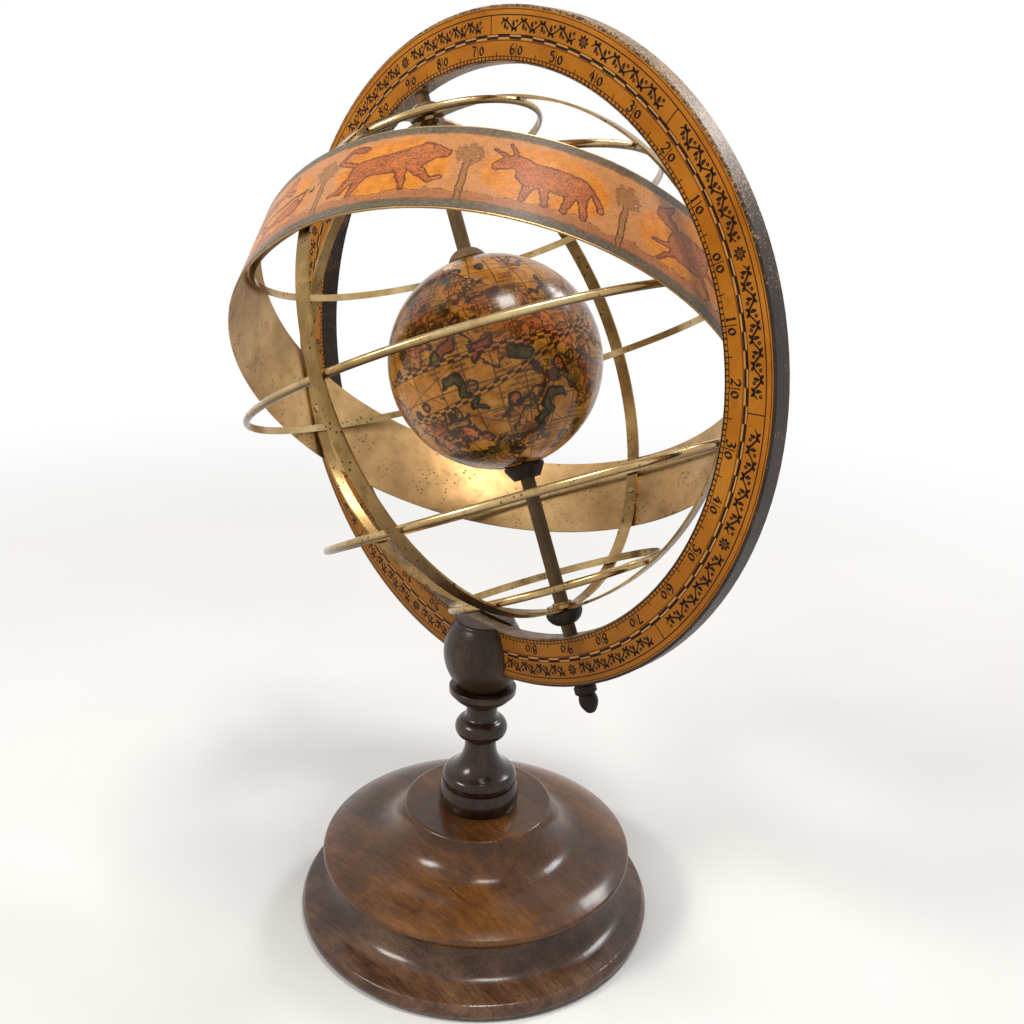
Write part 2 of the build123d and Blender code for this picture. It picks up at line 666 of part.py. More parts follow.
def make_hub(side):
    """Disc and collar on the rod; the colures lie on its domed outer face."""
    edge_z = math.sqrt(COLURE_IN_R * COLURE_IN_R - HUB_R * HUB_R)
    low = edge_z - HUB_RIM_H
    body = cyl(HUB_R, low, COLURE_R) & Sphere(COLURE_IN_R)
    body += cyl(HUB_COLLAR_R, low - HUB_COLLAR_H, low + HUB_RIM_H / 2)
    body -= cyl(ROD_R + RUN_FIT, low - HUB_COLLAR_H - 1, COLURE_R + 1)
    return POLAR * (body if side > 0 else mirrored(body))


def solder_wedge(latitude):
    """Wedge on the equator's side of a crossing, over the +X half circle."""
    round_r = BAND_ROUND + SOLDER_FIT
    centre = COLURE_IN_R - BAND_SEAT - BAND_ROUND

    def beside_rod(z):
        return (centre + math.sqrt(round_r * round_r - z * z), -z)

    outer = COLURE_IN_R - SOLDER_FIT - SOLDER_FAR * SOLDER_FAR / (2 * COLURE_IN_R)
    near = beside_rod(SOLDER_NEAR)
    middle = beside_rod((SOLDER_NEAR + SOLDER_FAR) / 2)
    far = beside_rod(SOLDER_FAR)
    outline = [
        line(near, (outer, -SOLDER_NEAR), (outer, -SOLDER_FAR), far),
        ThreePointArc(far, middle, near),
    ]
    wedge = extrude(Plane.XZ * make_face(outline), SOLDER_W / 2, both=True)
    return Rot(0, -latitude, 0) * wedge


def make_solder_joints():
    """Wedges between each parallel and each colure."""
    wedges = []
    for latitude in (0, TROPIC_LAT, POLAR_LAT):
        north = solder_wedge(latitude)
        for index in range(COLURE_COUNT):
            turn = Rot(0, 0, colure_turn(index))
            wedges.append(POLAR * (turn * north))
            if latitude > 0:
                wedges.append(POLAR * (turn * mirrored(north)))
    return group(wedges)


def make_zodiac_rivets():
    """Round-headed outside, clenched over a flat head inside."""
    shank_in = math.sqrt(COLURE_IN_R * COLURE_IN_R - RIVET_HEAD_R * RIVET_HEAD_R) - RIVET_FIT
    shank_out = ZODIAC_OUT_R + PRINT_T
    rivet = cyl(RIVET_R, shank_in - RIVET_HEAD_H, shank_out + RIVET_HEAD_H)
    rivet += cyl(RIVET_HEAD_R, shank_in - RIVET_HEAD_H, shank_in)
    rivet += cyl(RIVET_HEAD_R, shank_out, shank_out + RIVET_HEAD_H)
    return group(POLAR * (place * rivet) for place in radial_places())


# ---------------------------------------------------------------- all parts
PARTS = {
    "base_lower": make_base_lower(),
    "base_upper": make_base_upper(),
    "column": make_column(),
    "column_screw": make_column_screw(),
    "screw_washer": make_screw_washer(),
    "column_head": make_column_head(),
    "ring_peg": make_ring_peg(),
    "meridian_ring": make_meridian_ring(),
    "scale_front": make_scale(-1),
    "scale_back": make_scale(1),
    "axis_rod": make_axis_rod(),
    "finial_knob": make_finial_knob(),
    "spacer_lower": make_spacer(-1),
    "spacer_upper": make_spacer(1),
    "globe_collar_lower": make_globe_collar(-1),
    "globe_collar_upper": make_globe_collar(1),
    "globe_north": make_globe_north(),
    "globe_south": make_globe_south(),
    "equator_band": make_parallel(0),
    "tropic_north": make_parallel(TROPIC_LAT),
    "tropic_south": make_parallel(-TROPIC_LAT),
    "polar_circle_north": make_parallel(POLAR_LAT),
    "polar_circle_south": make_parallel(-POLAR_LAT),
    "zodiac_band_a": make_zodiac_band(1),
    "zodiac_band_b": make_zodiac_band(-1),
    "zodiac_print": make_zodiac_print(),
    "hub_north": make_hub(1),
    "hub_south": make_hub(-1),
    "solder_joints": make_solder_joints(),
    "zodiac_rivets": make_zodiac_rivets(),
}

for index in range(COLURE_COUNT):
    PARTS["colure_" + "abcdefghijkl"[index]] = make_colure(index)

os.makedirs("parts", exist_ok=True)
for name, shape in PARTS.items():
    export_step(shape, os.path.join("parts", name + ".step"))
    print(name, [round(v, 2) for v in shape.bounding_box().size], round(shape.volume, 1))
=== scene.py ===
import json
import math

import bmesh
import bpy
from mathutils import Matrix, Vector


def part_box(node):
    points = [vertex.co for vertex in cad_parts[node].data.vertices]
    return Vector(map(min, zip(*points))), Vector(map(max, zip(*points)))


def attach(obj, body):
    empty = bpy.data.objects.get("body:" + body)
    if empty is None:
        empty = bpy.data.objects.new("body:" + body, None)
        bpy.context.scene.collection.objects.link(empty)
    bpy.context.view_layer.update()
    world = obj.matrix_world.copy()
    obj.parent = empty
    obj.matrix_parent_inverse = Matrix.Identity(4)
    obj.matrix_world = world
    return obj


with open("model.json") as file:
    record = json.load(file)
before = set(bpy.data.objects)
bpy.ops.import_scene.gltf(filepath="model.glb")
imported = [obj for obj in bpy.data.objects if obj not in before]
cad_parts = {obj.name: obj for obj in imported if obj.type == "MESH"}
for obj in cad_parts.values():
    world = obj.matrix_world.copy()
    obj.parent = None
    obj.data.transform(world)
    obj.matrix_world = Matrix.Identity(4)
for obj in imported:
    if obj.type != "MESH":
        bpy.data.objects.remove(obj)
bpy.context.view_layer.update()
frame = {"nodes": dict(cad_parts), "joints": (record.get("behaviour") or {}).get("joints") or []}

MM = 0.001
TO_DEG = 57.2958
TO_RAD = 0.0174533

# ------------------------------------------------------------------ camera
# The viewing angle of the picture: position, right and down directions.
CAM_AT = Vector((0.38480, -0.37065, 0.41264))
CAM_RIGHT = Vector((0.69866598, 0.71412747, 0.04344893))
CAM_DOWN = Vector((0.23766583, -0.17438164, -0.95556580))
FOCAL = 1112.5          # focal length, in widths of a pixel of a 1024 frame
CENTRE_X = 513.5
CENTRE_Y = 474.7
FRAME_PX = 1024

cam_data = bpy.data.cameras.new("camera")
cam = bpy.data.objects.new("camera", cam_data)
bpy.context.scene.collection.objects.link(cam)
up = -CAM_DOWN
back = CAM_RIGHT.cross(up)
turn = Matrix((CAM_RIGHT, up, back)).transposed().to_4x4()
cam.matrix_world = Matrix.Translation(CAM_AT) @ turn
cam_data.sensor_width = 36.0
cam_data.lens = FOCAL / FRAME_PX * 36.0
cam_data.shift_x = (FRAME_PX / 2 - CENTRE_X) / FRAME_PX
cam_data.shift_y = (CENTRE_Y - FRAME_PX / 2) / FRAME_PX
cam_data.clip_start = 0.01
cam_data.clip_end = 50
bpy.context.scene.camera = cam

# ------------------------------------------------------------ measurements
# All positions come from the CAD nodes' own boxes.
RING_LO, RING_HI = [Vector(v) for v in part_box("meridian_ring")]
CENTRE = (RING_LO + RING_HI) / 2
RING_R = (RING_HI.x - RING_LO.x) / 2
RING_BOARD = 0.0242                                          # width of the ring's board
RING_IN = RING_R - RING_BOARD                                # inner radius of the wood
FRONT_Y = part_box("scale_front")[0][1]                        # outer faces of the paper
BACK_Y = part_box("scale_back")[1][1]

AXIS = Vector(frame["joints"][0]["axis"]).normalized()      # towards the upper pole
SIDE = Vector((AXIS.z, 0, -AXIS.x))                          # equator, +X side
ACROSS = Vector((0, 1, 0))

ZODIAC_TILT = math.radians(39.5)
ZODIAC_TURN = math.radians(-83.9)


def polar_to_frame(x, y, z):
    return SIDE * x + ACROSS * y + AXIS * z


def zodiac_axes():
    """The zodiac band's own three directions, in the frame."""
    ct, st = math.cos(ZODIAC_TILT), math.sin(ZODIAC_TILT)
    ca, sa = math.cos(ZODIAC_TURN), math.sin(ZODIAC_TURN)
    ex = polar_to_frame(ca * ct, sa * ct, st)
    ey = polar_to_frame(-sa, ca, 0)
    ez = polar_to_frame(-ca * st, -sa * st, ct)
    return ex, ey, ez


# ---------------------------------------------------------- node materials
class Mat:
    """A node material built from short calls."""

    def __init__(self, name):
        self.mat = bpy.data.materials.new(name)
        self.mat.use_nodes = True
        self.tree = self.mat.node_tree
        self.tree.nodes.clear()
        self.out = self.new("OutputMaterial")
        self.bsdf = self.new("BsdfPrincipled")
        self.tree.links.new(self.bsdf.outputs[0], self.out.inputs[0])
        self.obj = self.new("TexCoord").outputs["Object"]

    def new(self, kind, **props):
        node = self.tree.nodes.new("ShaderNode" + kind)
        for key, value in props.items():
            setattr(node, key, value)
        return node

    def put(self, socket, value):
        if isinstance(value, bpy.types.NodeSocket):
            self.tree.links.new(value, socket)
        elif isinstance(value, (tuple, list, Vector)) and socket.type == "RGBA":
            socket.default_value = tuple(value)[:3] + (1.0,)
        else:
            socket.default_value = value

    def set(self, **values):
        for key, value in values.items():
            self.put(self.bsdf.inputs[key.replace("_", " ")], value)

    def math(self, op, a, b=0.0, c=0.0, clamp=False):
        node = self.new("Math", operation=op, use_clamp=clamp)
        for socket, value in zip(node.inputs, (a, b, c)):
            self.put(socket, value)
        return node.outputs[0]

    def vec(self, op, a, b=(0, 0, 0)):
        node = self.new("VectorMath", operation=op)
        self.put(node.inputs[0], a)
        self.put(node.inputs[1], b)
        return node.outputs["Value" if op in ("DOT_PRODUCT", "LENGTH") else "Vector"]

    def xyz(self, v):
        node = self.new("SeparateXYZ")
        self.put(node.inputs[0], v)
        return node.outputs[0], node.outputs[1], node.outputs[2]

    def join(self, x, y, z):
        node = self.new("CombineXYZ")
        for socket, value in zip(node.inputs, (x, y, z)):
            self.put(socket, value)
        return node.outputs[0]

    def local(self, centre, ex, ey, ez):
        """Coordinates in a turned frame, in millimetres."""
        d = self.vec("SUBTRACT", self.obj, tuple(centre))
        parts = [self.vec("DOT_PRODUCT", d, tuple(e * 1000)) for e in (ex, ey, ez)]
        return self.join(*parts)

    def scaled(self, v, sx, sy, sz):
        return self.vec("MULTIPLY", v, (sx, sy, sz))

    def noise(self, v, scale, detail=3.0, rough=0.5, warp=0.0):
        node = self.new("TexNoise")
        self.put(node.inputs["Vector"], v)
        self.put(node.inputs["Scale"], scale)
        self.put(node.inputs["Detail"], detail)
        self.put(node.inputs["Roughness"], rough)
        self.put(node.inputs["Distortion"], warp)
        return node.outputs[0]

    def noise_col(self, v, scale, detail=3.0, rough=0.5):
        node = self.new("TexNoise")
        self.put(node.inputs["Vector"], v)
        self.put(node.inputs["Scale"], scale)
        self.put(node.inputs["Detail"], detail)
        self.put(node.inputs["Roughness"], rough)
        return node.outputs[1]

    def voronoi(self, v, scale):
        node = self.new("TexVoronoi", feature="F1")
        self.put(node.inputs["Vector"], v)
        self.put(node.inputs["Scale"], scale)
        return node.outputs

    def step(self, x, low, high, a=0.0, b=1.0):
        """a below low, b above high."""
        node = self.new("MapRange", interpolation_type="SMOOTHSTEP")
        for index, value in enumerate((x, low, high, a, b)):
            self.put(node.inputs[index], value)
        return node.outputs[0]

    def line(self, x, at, width, soft=0.15):
        """1 on a line at x == at, width wide, 0 elsewhere."""
        d = self.math("ABSOLUTE", self.math("SUBTRACT", x, at))
        return self.step(d, width / 2 - soft / 2, width / 2 + soft / 2, 1.0, 0.0)

    def ramp(self, fac, *stops):
        node = self.new("ValToRGB")
        ramp = node.color_ramp
        while len(ramp.elements) < len(stops):
            ramp.elements.new(0.5)
        for element, (at, colour) in zip(ramp.elements, stops):
            element.position = at
            element.color = tuple(colour)[:3] + (1.0,)
        self.put(node.inputs[0], fac)
        return node.outputs[0]

    def mix(self, fac, a, b):
        node = self.new("Mix", data_type="RGBA")
        self.put(node.inputs[0], fac)
        self.put(node.inputs[6], a)
        self.put(node.inputs[7], b)
        return node.outputs[2]

    def many(self, op, *values):
        total = values[0]
        for value in values[1:]:
            total = self.math(op, total, value)
        return total

    def capsule(self, p, a, b, r1, r2):
        """Distance to a rod from a to b (millimetres) whose radius goes from r1 to r2."""
        bx, by = b[0] - a[0], b[1] - a[1]
        size = bx * bx + by * by
        d = self.vec("SUBTRACT", p, (a[0], a[1], 0))
        along = self.vec("DOT_PRODUCT", d, (bx / size, by / size, 0))
        along = self.math("ADD", along, 0.0, clamp=True)
        node = self.new("VectorMath", operation="SCALE")
        self.put(node.inputs[0], (bx, by, 0))
        self.put(node.inputs["Scale"], along)
        reach = self.vec("LENGTH", self.vec("SUBTRACT", d, node.outputs[0]))
        return self.math("SUBTRACT", reach, self.math("MULTIPLY_ADD", along, r2 - r1, r1))

    def figure(self, p, rods, at=(0, 0), scale=1.0, soft=1.0):
        """Distance to a figure made of rods given as (ax, ay, bx, by, r1, r2)."""
        total = None
        for ax, ay, bx, by, r1, r2 in rods:
            a = (at[0] + ax * scale, at[1] + ay * abs(scale))
            b = (at[0] + bx * scale, at[1] + by * abs(scale))
            d = self.capsule(p, a, b, r1 * abs(scale), r2 * abs(scale))
            total = d if total is None else self.math("SMOOTH_MIN", total, d, soft)
        return total

    def bump(self, height, distance, strength=1.0):
        node = self.new("Bump")
        self.put(node.inputs["Strength"], strength)
        self.put(node.inputs["Distance"], distance)
        self.put(node.inputs["Height"], height)
        return node.outputs[0]


def srgb(r, g, b):
    """Linear colour from 0-255 display values."""
    out = []
    for v in (r, g, b):
        v /= 255.0
        out.append(v / 12.92 if v <= 0.04045 else ((v + 0.055) / 1.055) ** 2.4)
    return tuple(out)


def paint(names, mat):
    for name in names:
        obj = frame["nodes"][name]
        obj.data.materials.clear()
        obj.data.materials.append(mat.mat)


# -------------------------------------------------------------- wood kinds
def wood(name, dark, mid, light, along=12.0, across=80.0, streak=1.0, blotch=1.0,
         rough=0.32, coat=0.4, coat_rough=0.16, upright=True, seed=0.0):
    """Varnished wood; along and across are the grain's waves per metre."""
    m = Mat(name)
    p = m.vec("ADD", m.obj, (seed, seed * 0.7, seed * 0.3))
    wob = m.vec("SUBTRACT", m.noise_col(p, 9.0, 2.0), (0.5, 0.5, 0.5))
    q = m.vec("ADD", p, m.scaled(wob, 0.02, 0.02, 0.02))

    def grain_at(factor):
        a, c = along * factor, across * factor
        return m.scaled(q, c, c, a) if upright else m.scaled(q, a, c, c)

    broad = m.noise(p, 9.0, 3.0, 0.55)
    cloud = m.noise(p, 48.0, 4.0, 0.6, 0.4)
    grain = m.noise(grain_at(1.0), 1.0, 4.0, 0.6, 0.6)
    fine = m.noise(grain_at(8.0), 1.0, 2.0, 0.6)
    pore = m.noise(grain_at(18.0), 1.0, 2.0, 0.5)
    tone = m.math("MULTIPLY_ADD", grain, 0.50 * streak, -0.42 * streak)
    tone = m.math("MULTIPLY_ADD", broad, 0.75 * blotch, tone)
    tone = m.math("MULTIPLY_ADD", cloud, 0.55 * blotch, tone)
    tone = m.math("MULTIPLY_ADD", fine, 0.34 * streak, tone)
    tone = m.math("ADD", tone, 0.5 - 0.65 * blotch)
    col = m.ramp(tone, (0.22, dark), (0.50, mid), (0.78, light))
    pores = m.step(pore, 0.60, 0.68)
    col = m.mix(m.math("MULTIPLY", pores, 0.45), col, tuple(v * 0.4 for v in dark))
    smear = m.noise(p, 30.0, 3.0, 0.6)
    m.set(Roughness=m.math("MULTIPLY_ADD", smear, 0.2, rough - 0.1))
    height = m.math("MULTIPLY_ADD", pores, -0.6, m.math("MULTIPLY", fine, 0.6))
    m.set(Normal=m.bump(height, 0.00012, 0.5))
    m.set(Coat_Weight=coat, Coat_Roughness=coat_rough, Coat_IOR=1.36, Specular_IOR_Level=0.1)
    return m, p, col


def base_wood(name, *tones):
    """Walnut-stained discs: clouded plank grain, dark checks and a few small knots."""
    m, p, col = wood(
        name, *tones, streak=1.0, blotch=0.85, rough=0.4, coat=0.85, coat_rough=0.17,
        upright=False,
    )
    knots = m.step(m.voronoi(p, 26.0)["Distance"], 0.05, 0.09, 1.0, 0.0)
    few = m.step(m.noise(p, 17.0, 1.0), 0.56, 0.60)
    checks = m.noise(m.scaled(p, 20.0, 260.0, 90.0), 1.0, 3.0, 0.5, 1.2)
    checks = m.math("MULTIPLY", m.step(checks, 0.66, 0.70), 0.6)
    marks = m.math("MAXIMUM", m.math("MULTIPLY", knots, few), checks)
    col = m.mix(m.math("MULTIPLY", marks, 0.8), col, srgb(24, 14, 9))
    m.set(Base_Color=col)
    return m


def plain_wood(*args, **kwargs):
    m, p, col = wood(*args, **kwargs)
    m.set(Base_Color=col)
    return m


paint(["base_upper"], base_wood(
    "walnut", srgb(32, 17, 7), srgb(86, 51, 20), srgb(132, 84, 36)))
paint(["base_lower"], base_wood(
    "walnut_foot", srgb(28, 15, 9), srgb(76, 50, 33), srgb(128, 94, 68)))
paint(["column"], plain_wood(
    "dark_wood", srgb(13, 6, 3), srgb(42, 25, 14), srgb(84, 58, 36), along=16.0,
    across=110.0, streak=1.1, blotch=0.8, rough=0.36, coat=0.85, coat_rough=0.17, seed=3.0,
))
paint(["column_head", "ring_peg"], plain_wood(
    "ball_wood", srgb(18, 10, 5), srgb(52, 36, 23), srgb(92, 72, 52), along=7.0,
    across=120.0, streak=1.0, blotch=0.7, rough=0.44, coat=0.6, coat_rough=0.25, seed=5.0,
))


def rod_wood():
    """Plain wood, with painted shade darkening the rod below the globe."""
    m, p, col = wood(
        "rod_wood", srgb(74, 56, 36), srgb(126, 102, 72), srgb(162, 136, 102), along=14.0,
        across=160.0, streak=0.8, blotch=0.8, rough=0.6, coat=0.0, seed=8.0,
    )
    x, y, z = m.xyz(m.obj)
    # painted shade: the rod is mixed darker towards its lower end, below the globe's centre
    low = m.step(z, CENTRE.z, CENTRE.z - 0.06, 0.0, 0.6)
    m.set(Base_Color=m.mix(low, col, srgb(38, 26, 18)))
    return m


paint(["axis_rod", "spacer_upper", "globe_collar_upper"], rod_wood())
paint(["finial_knob", "spacer_lower", "globe_collar_lower"], plain_wood(
    "knob_wood", srgb(18, 11, 8), srgb(40, 28, 21), srgb(68, 50, 38), along=20.0,
    across=160.0, streak=0.8, blotch=0.8, rough=0.5, coat=0.15, seed=11.0,
))


def ring_wood():
    """Black-stained board speckled gold, the speckles thicker towards the top as painted highlight,
    partly wear; tan inside at the bottom.
    """
    m = Mat("ring_wood")
    p = m.obj
    x, y, z = m.xyz(m.vec("SUBTRACT", p, tuple(CENTRE)))
    radius = m.math("SQRT", m.math("ADD", m.math("MULTIPLY", x, x), m.math("MULTIPLY", z, z)))
    high = m.math("MULTIPLY_ADD", z, 0.5 / RING_R, 0.5)   # 0 at the foot, 1 at the top
    cloud = m.noise(p, 60.0, 4.0, 0.6)
    grit = m.noise(p, 950.0, 4.0, 0.75)
    col = m.ramp(cloud, (0.3, srgb(24, 16, 11)), (0.6, srgb(46, 33, 23)), (0.8, srgb(78, 60, 44)))
    # painted highlight, partly wear: the gold speckles grow denser towards the top of the ring
    worn = m.math("MULTIPLY_ADD", m.step(high, 0.52, 0.92), 0.17, 0.0)
    worn = m.math("MULTIPLY_ADD", m.step(cloud, 0.4, 0.7), 0.07, worn)
    speck = m.step(m.math("ADD", grit, worn), 0.64, 0.72)
    col = m.mix(m.math("MULTIPLY", speck, 0.85), col, srgb(176, 138, 92))
    inside = m.step(radius, RING_IN + 0.0012, RING_IN + 0.0006, 0.0, 1.0)
    low = m.step(high, 0.30, 0.08)
    tan = m.ramp(m.noise(p, 160.0, 4.0, 0.65), (0.35, srgb(88, 64, 44)), (0.7, srgb(168, 136, 98)))
    col = m.mix(m.many("MULTIPLY", inside, low, 0.9), col, tan)
    m.set(Base_Color=col, Roughness=m.math("MULTIPLY_ADD", grit, 0.4, 0.22))
    m.set(Normal=m.bump(grit, 0.00025, 0.7))
    m.set(Coat_Weight=0.1, Coat_Roughness=0.3, Specular_IOR_Level=0.25)
    return m


paint(["meridian_ring"], ring_wood())


def steel():
    m = Mat("steel")
    n = m.noise(m.obj, 900.0, 3.0, 0.6)
    m.set(Base_Color=m.ramp(n, (0.3, (0.22, 0.21, 0.20)), (0.7, (0.5, 0.49, 0.47))))
    m.set(Metallic=1.0, Roughness=m.math("MULTIPLY_ADD", n, 0.25, 0.25))
    return m


paint(["column_screw", "screw_washer"], steel())


def brass(name, dull, mid, bright, satin=0.0, pitting=1.0, down_facing_shade_and_patina=0.7):
    """Aged brass: bright where rubbed, brown in patches, small dark pits."""
    m = Mat(name)
    p = m.obj
    patch = m.noise(p, 24.0, 4.0, 0.6)
    grime = m.noise(p, 150.0, 4.0, 0.65)
    pit = m.step(m.voronoi(p, 380.0)["Distance"], 0.16, 0.30, 1.0, 0.0)
    pit = m.math("MULTIPLY", pit, m.step(m.noise(p, 70.0, 2.0), 0.50, 0.58))
    fleck = m.step(m.noise(p, 1100.0, 3.0, 0.7), 0.62, 0.70)
    col = m.ramp(patch, (0.28, dull), (0.5, mid), (0.72, bright))
    stain = m.step(grime, 0.52, 0.68)
    col = m.mix(m.math("MULTIPLY", stain, 0.4 * pitting), col, srgb(84, 64, 38))
    dark = m.math("MAXIMUM", m.math("MULTIPLY", pit, 0.85), m.math("MULTIPLY", fleck, 0.4))
    col = m.mix(m.math("MULTIPLY", dark, pitting, clamp=True), col, srgb(40, 28, 16))
    # painted shade, partly patina: faces turned down are mixed towards brown
    facing = m.xyz(m.new("TexCoord").outputs["Normal"])[2]
    down_facing_shade_and_patina_mask = m.step(m.math("MULTIPLY_ADD", grime, 0.3, facing), 0.35, -0.55)
    col = m.mix(m.math("MULTIPLY", down_facing_shade_and_patina_mask, down_facing_shade_and_patina), col, srgb(74, 52, 28))
    m.set(Base_Color=col, Metallic=1.0)
    rough = m.math("MULTIPLY_ADD", grime, 0.22, 0.10 + satin)
    m.set(Roughness=m.math("MULTIPLY_ADD", pit, 0.25, rough))
    height = m.math("MULTIPLY_ADD", pit, -1.0, grime)
    m.set(Normal=m.bump(height, 0.00008, 0.5))
    return m


paint(
    ["colure_a", "colure_b", "colure_c", "colure_d", "hub_north", "hub_south"],
    brass("brass", srgb(98, 74, 40), srgb(146, 116, 70), srgb(198, 164, 110),
          satin=0.06, pitting=1.1),
)
paint(
    ["equator_band", "tropic_north", "tropic_south", "polar_circle_north",
     "polar_circle_south", "zodiac_rivets"],
    brass("rod_brass", srgb(132, 106, 66), srgb(184, 154, 104), srgb(226, 202, 154),
          satin=0.0, pitting=0.8, down_facing_shade_and_patina=0.85),
)
paint(
    ["zodiac_band_a", "zodiac_band_b"],
    brass("band_brass", srgb(142, 112, 74), srgb(184, 148, 100), srgb(214, 180, 130),
          satin=0.22, pitting=0.5, down_facing_shade_and_patina=0.25),
)


def solder():
    m = Mat("solder")
    n = m.noise(m.obj, 500.0, 3.0, 0.6)
    m.set(Base_Color=m.ramp(n, (0.3, srgb(140, 128, 100)), (0.7, srgb(214, 204, 178))))
    m.set(Metallic=0.9, Roughness=m.math("MULTIPLY_ADD", n, 0.2, 0.25))
    m.set(Normal=m.bump(n, 0.0002, 0.5))
    return m


paint(["solder_joints"], solder())


# ----------------------------------------------------- printed ring paper
def ring_paper():
    """Golden varnished paper, browner towards the lower left."""
    m = Mat("printed_paper")
    p = m.obj
    x, y, z = m.xyz(m.vec("SUBTRACT", p, tuple(CENTRE)))
    blot = m.noise(p, 26.0, 4.0, 0.6)
    fibre = m.noise(p, 900.0, 3.0, 0.7)
    col = m.ramp(
        blot, (0.28, srgb(152, 88, 12)), (0.5, srgb(176, 106, 20)), (0.75, srgb(194, 128, 38)),
    )
    lean = m.math("MULTIPLY_ADD", x, 0.5, z)
    lower_left_browning = m.step(m.math("MULTIPLY_ADD", lean, -3.2, 0.35), 0.0, 1.0)
    lower_left_browning = m.math("MULTIPLY", lower_left_browning, m.math("MULTIPLY_ADD", blot, 0.7, 0.3))
    col = m.mix(lower_left_browning, col, srgb(122, 80, 34))
    col = m.mix(m.math("MULTIPLY", m.step(fibre, 0.52, 0.75), 0.4), col, srgb(140, 84, 32))
    foxing = m.step(m.noise(p, 130.0, 4.0, 0.7), 0.60, 0.70)
    col = m.mix(m.math("MULTIPLY", foxing, 0.35), col, srgb(122, 70, 28))
    m.set(Base_Color=col, Roughness=m.math("MULTIPLY_ADD", fibre, 0.2, 0.42))
    m.set(Normal=m.bump(fibre, 0.00006, 0.4))
    m.set(Specular_IOR_Level=0.12)
    return m


def ink():
    m = Mat("ink")
    n = m.noise(m.obj, 1200.0, 3.0, 0.7)
    m.set(Base_Color=m.ramp(n, (0.35, srgb(22, 12, 5)), (0.75, srgb(58, 34, 14))))
    m.set(Roughness=m.math("MULTIPLY_ADD", n, 0.2, 0.4), Specular_IOR_Level=0.12)
    return m


def pale_ink():
    m = Mat("pale_print")
    n = m.noise(m.obj, 1200.0, 3.0, 0.7)
    m.set(Base_Color=m.ramp(n, (0.35, srgb(176, 118, 50)), (0.75, srgb(204, 146, 76))))
    m.set(Roughness=m.math("MULTIPLY_ADD", n, 0.2, 0.4))
    return m


paint(["scale_front", "scale_back"], ring_paper())

INK_T = 0.04              # thickness of the printed marks, mm
NIB = 35.0                # angle that the pen is held at, degrees
PAPER_IN = (RING_IN + 0.0008) / MM    # inner edge of the paper, mm
LADDER_R = 139.7
TICK_5 = 141.6
TICK_10 = 145.0
DIGIT_R = 140.6           # foot of the digits
DIGIT_H = 4.4
RULE_R = 146.3            # thin rule under the chequered band
LANE_1 = 146.7
LANE_2 = 147.75
LANE_END = 148.8
ORNAMENT_R = 149.9        # foot of the ornament
ORNAMENT_H = 5.9
TOP_RULE_R = 156.9
EDGE_RULE_R = 159.3


class Sheet:
    """Flat closed pieces of print, drawn in the plane of one face of the ring."""

    def __init__(self, side):
        self.side = side
        self.verts = []
        self.faces = []
        y = FRONT_Y if side > 0 else BACK_Y
        self.low = y
        self.high = y - side * INK_T * MM

    def at(self, radius, angle, lift):
        """angle: clockwise from the upper pole as seen by someone facing the print."""
        a = math.radians(angle)
        pole = Vector((AXIS.x, AXIS.z))
        east = Vector((SIDE.x, SIDE.z)) * self.side
        d = pole * math.cos(a) + east * math.sin(a)
        y = self.high if lift else self.low
        return (CENTRE.x + d.x * radius * MM, y, CENTRE.z + d.y * radius * MM)

    def ribbon(self, left, right):
        """Closed thin strip between two runs of (radius, angle) points."""
        n = len(left)
        base = len(self.verts)
        for run in (left, right):
            for lift in (False, True):
                self.verts += [self.at(r, a, lift) for r, a in run]
        lb, lt, rb, rt = base, base + n, base + 2 * n, base + 3 * n
        for i in range(n - 1):
            j = i + 1
            self.faces += [
                (lt + i, lt + j, rt + j, rt + i),
                (lb + i, rb + i, rb + j, lb + j),
                (lb + i, lb + j, lt + j, lt + i),
                (rb + i, rt + i, rt + j, rb + j),
            ]
        self.faces.append((lb, lt, rt, rb))
        e = n - 1
        self.faces.append((lb + e, rb + e, rt + e, lt + e))

    def arc(self, radius, width, start=0.0, end=360.0, step=2.0):
        count = max(2, int(round((end - start) / step)) + 1)
        angles = [start + (end - start) * i / (count - 1) for i in range(count)]
        self.ribbon(
            [(radius + width / 2, a) for a in angles],
            [(radius - width / 2, a) for a in angles],
        )

    def tick(self, angle, low, high, width):
        half = math.degrees(width / 2 / ((low + high) / 2))
        self.ribbon(
            [(low, angle - half), (high, angle - half)],
            [(low, angle + half), (high, angle + half)],
        )

    def stroke(self, points, angle, radius, pen, thin=0.35, closed=False):
        """Broad-nib stroke through (x, y) millimetre points, y outwards."""
        n = len(points)
        left, right = [], []
        nib = Vector((math.cos(math.radians(NIB)), math.sin(math.radians(NIB))))
        for i in range(n):
            a = Vector(points[(i - 1) % n] if closed else points[max(0, i - 1)])
            b = Vector(points[(i + 1) % n] if closed else points[min(n - 1, i + 1)])
            t = (b - a).normalized() if (b - a).length > 1e-9 else Vector((1, 0))
            normal = Vector((-t.y, t.x))
            half = pen / 2 * (thin + (1 - thin) * abs(normal.dot(nib)))
            if not closed and n > 3:
                half *= 0.75 + 0.25 * min(1.0, min(i, n - 1 - i) / 1.5)
            p = Vector(points[i])
            left.append(p + normal * half)
            right.append(p - normal * half)
        if closed:
            left.append(left[0])
            right.append(right[0])

        def bend(p):
            r = radius + p.y
            return (r, angle + math.degrees(p.x / radius))

        self.ribbon([bend(p) for p in left], [bend(p) for p in right])

    def build(self, name, mat):
        mesh = bpy.data.meshes.new(name)
        mesh.from_pydata(self.verts, [], self.faces)
        mesh.update()
        obj = bpy.data.objects.new(name, mesh)
        bpy.context.scene.collection.objects.link(obj)
        bm = bmesh.new()
        bm.from_mesh(mesh)
        bmesh.ops.recalc_face_normals(bm, faces=bm.faces)
        bm.to_mesh(mesh)
        bm.free()
        mesh.materials.append(mat.mat)
        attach(obj, "stand")


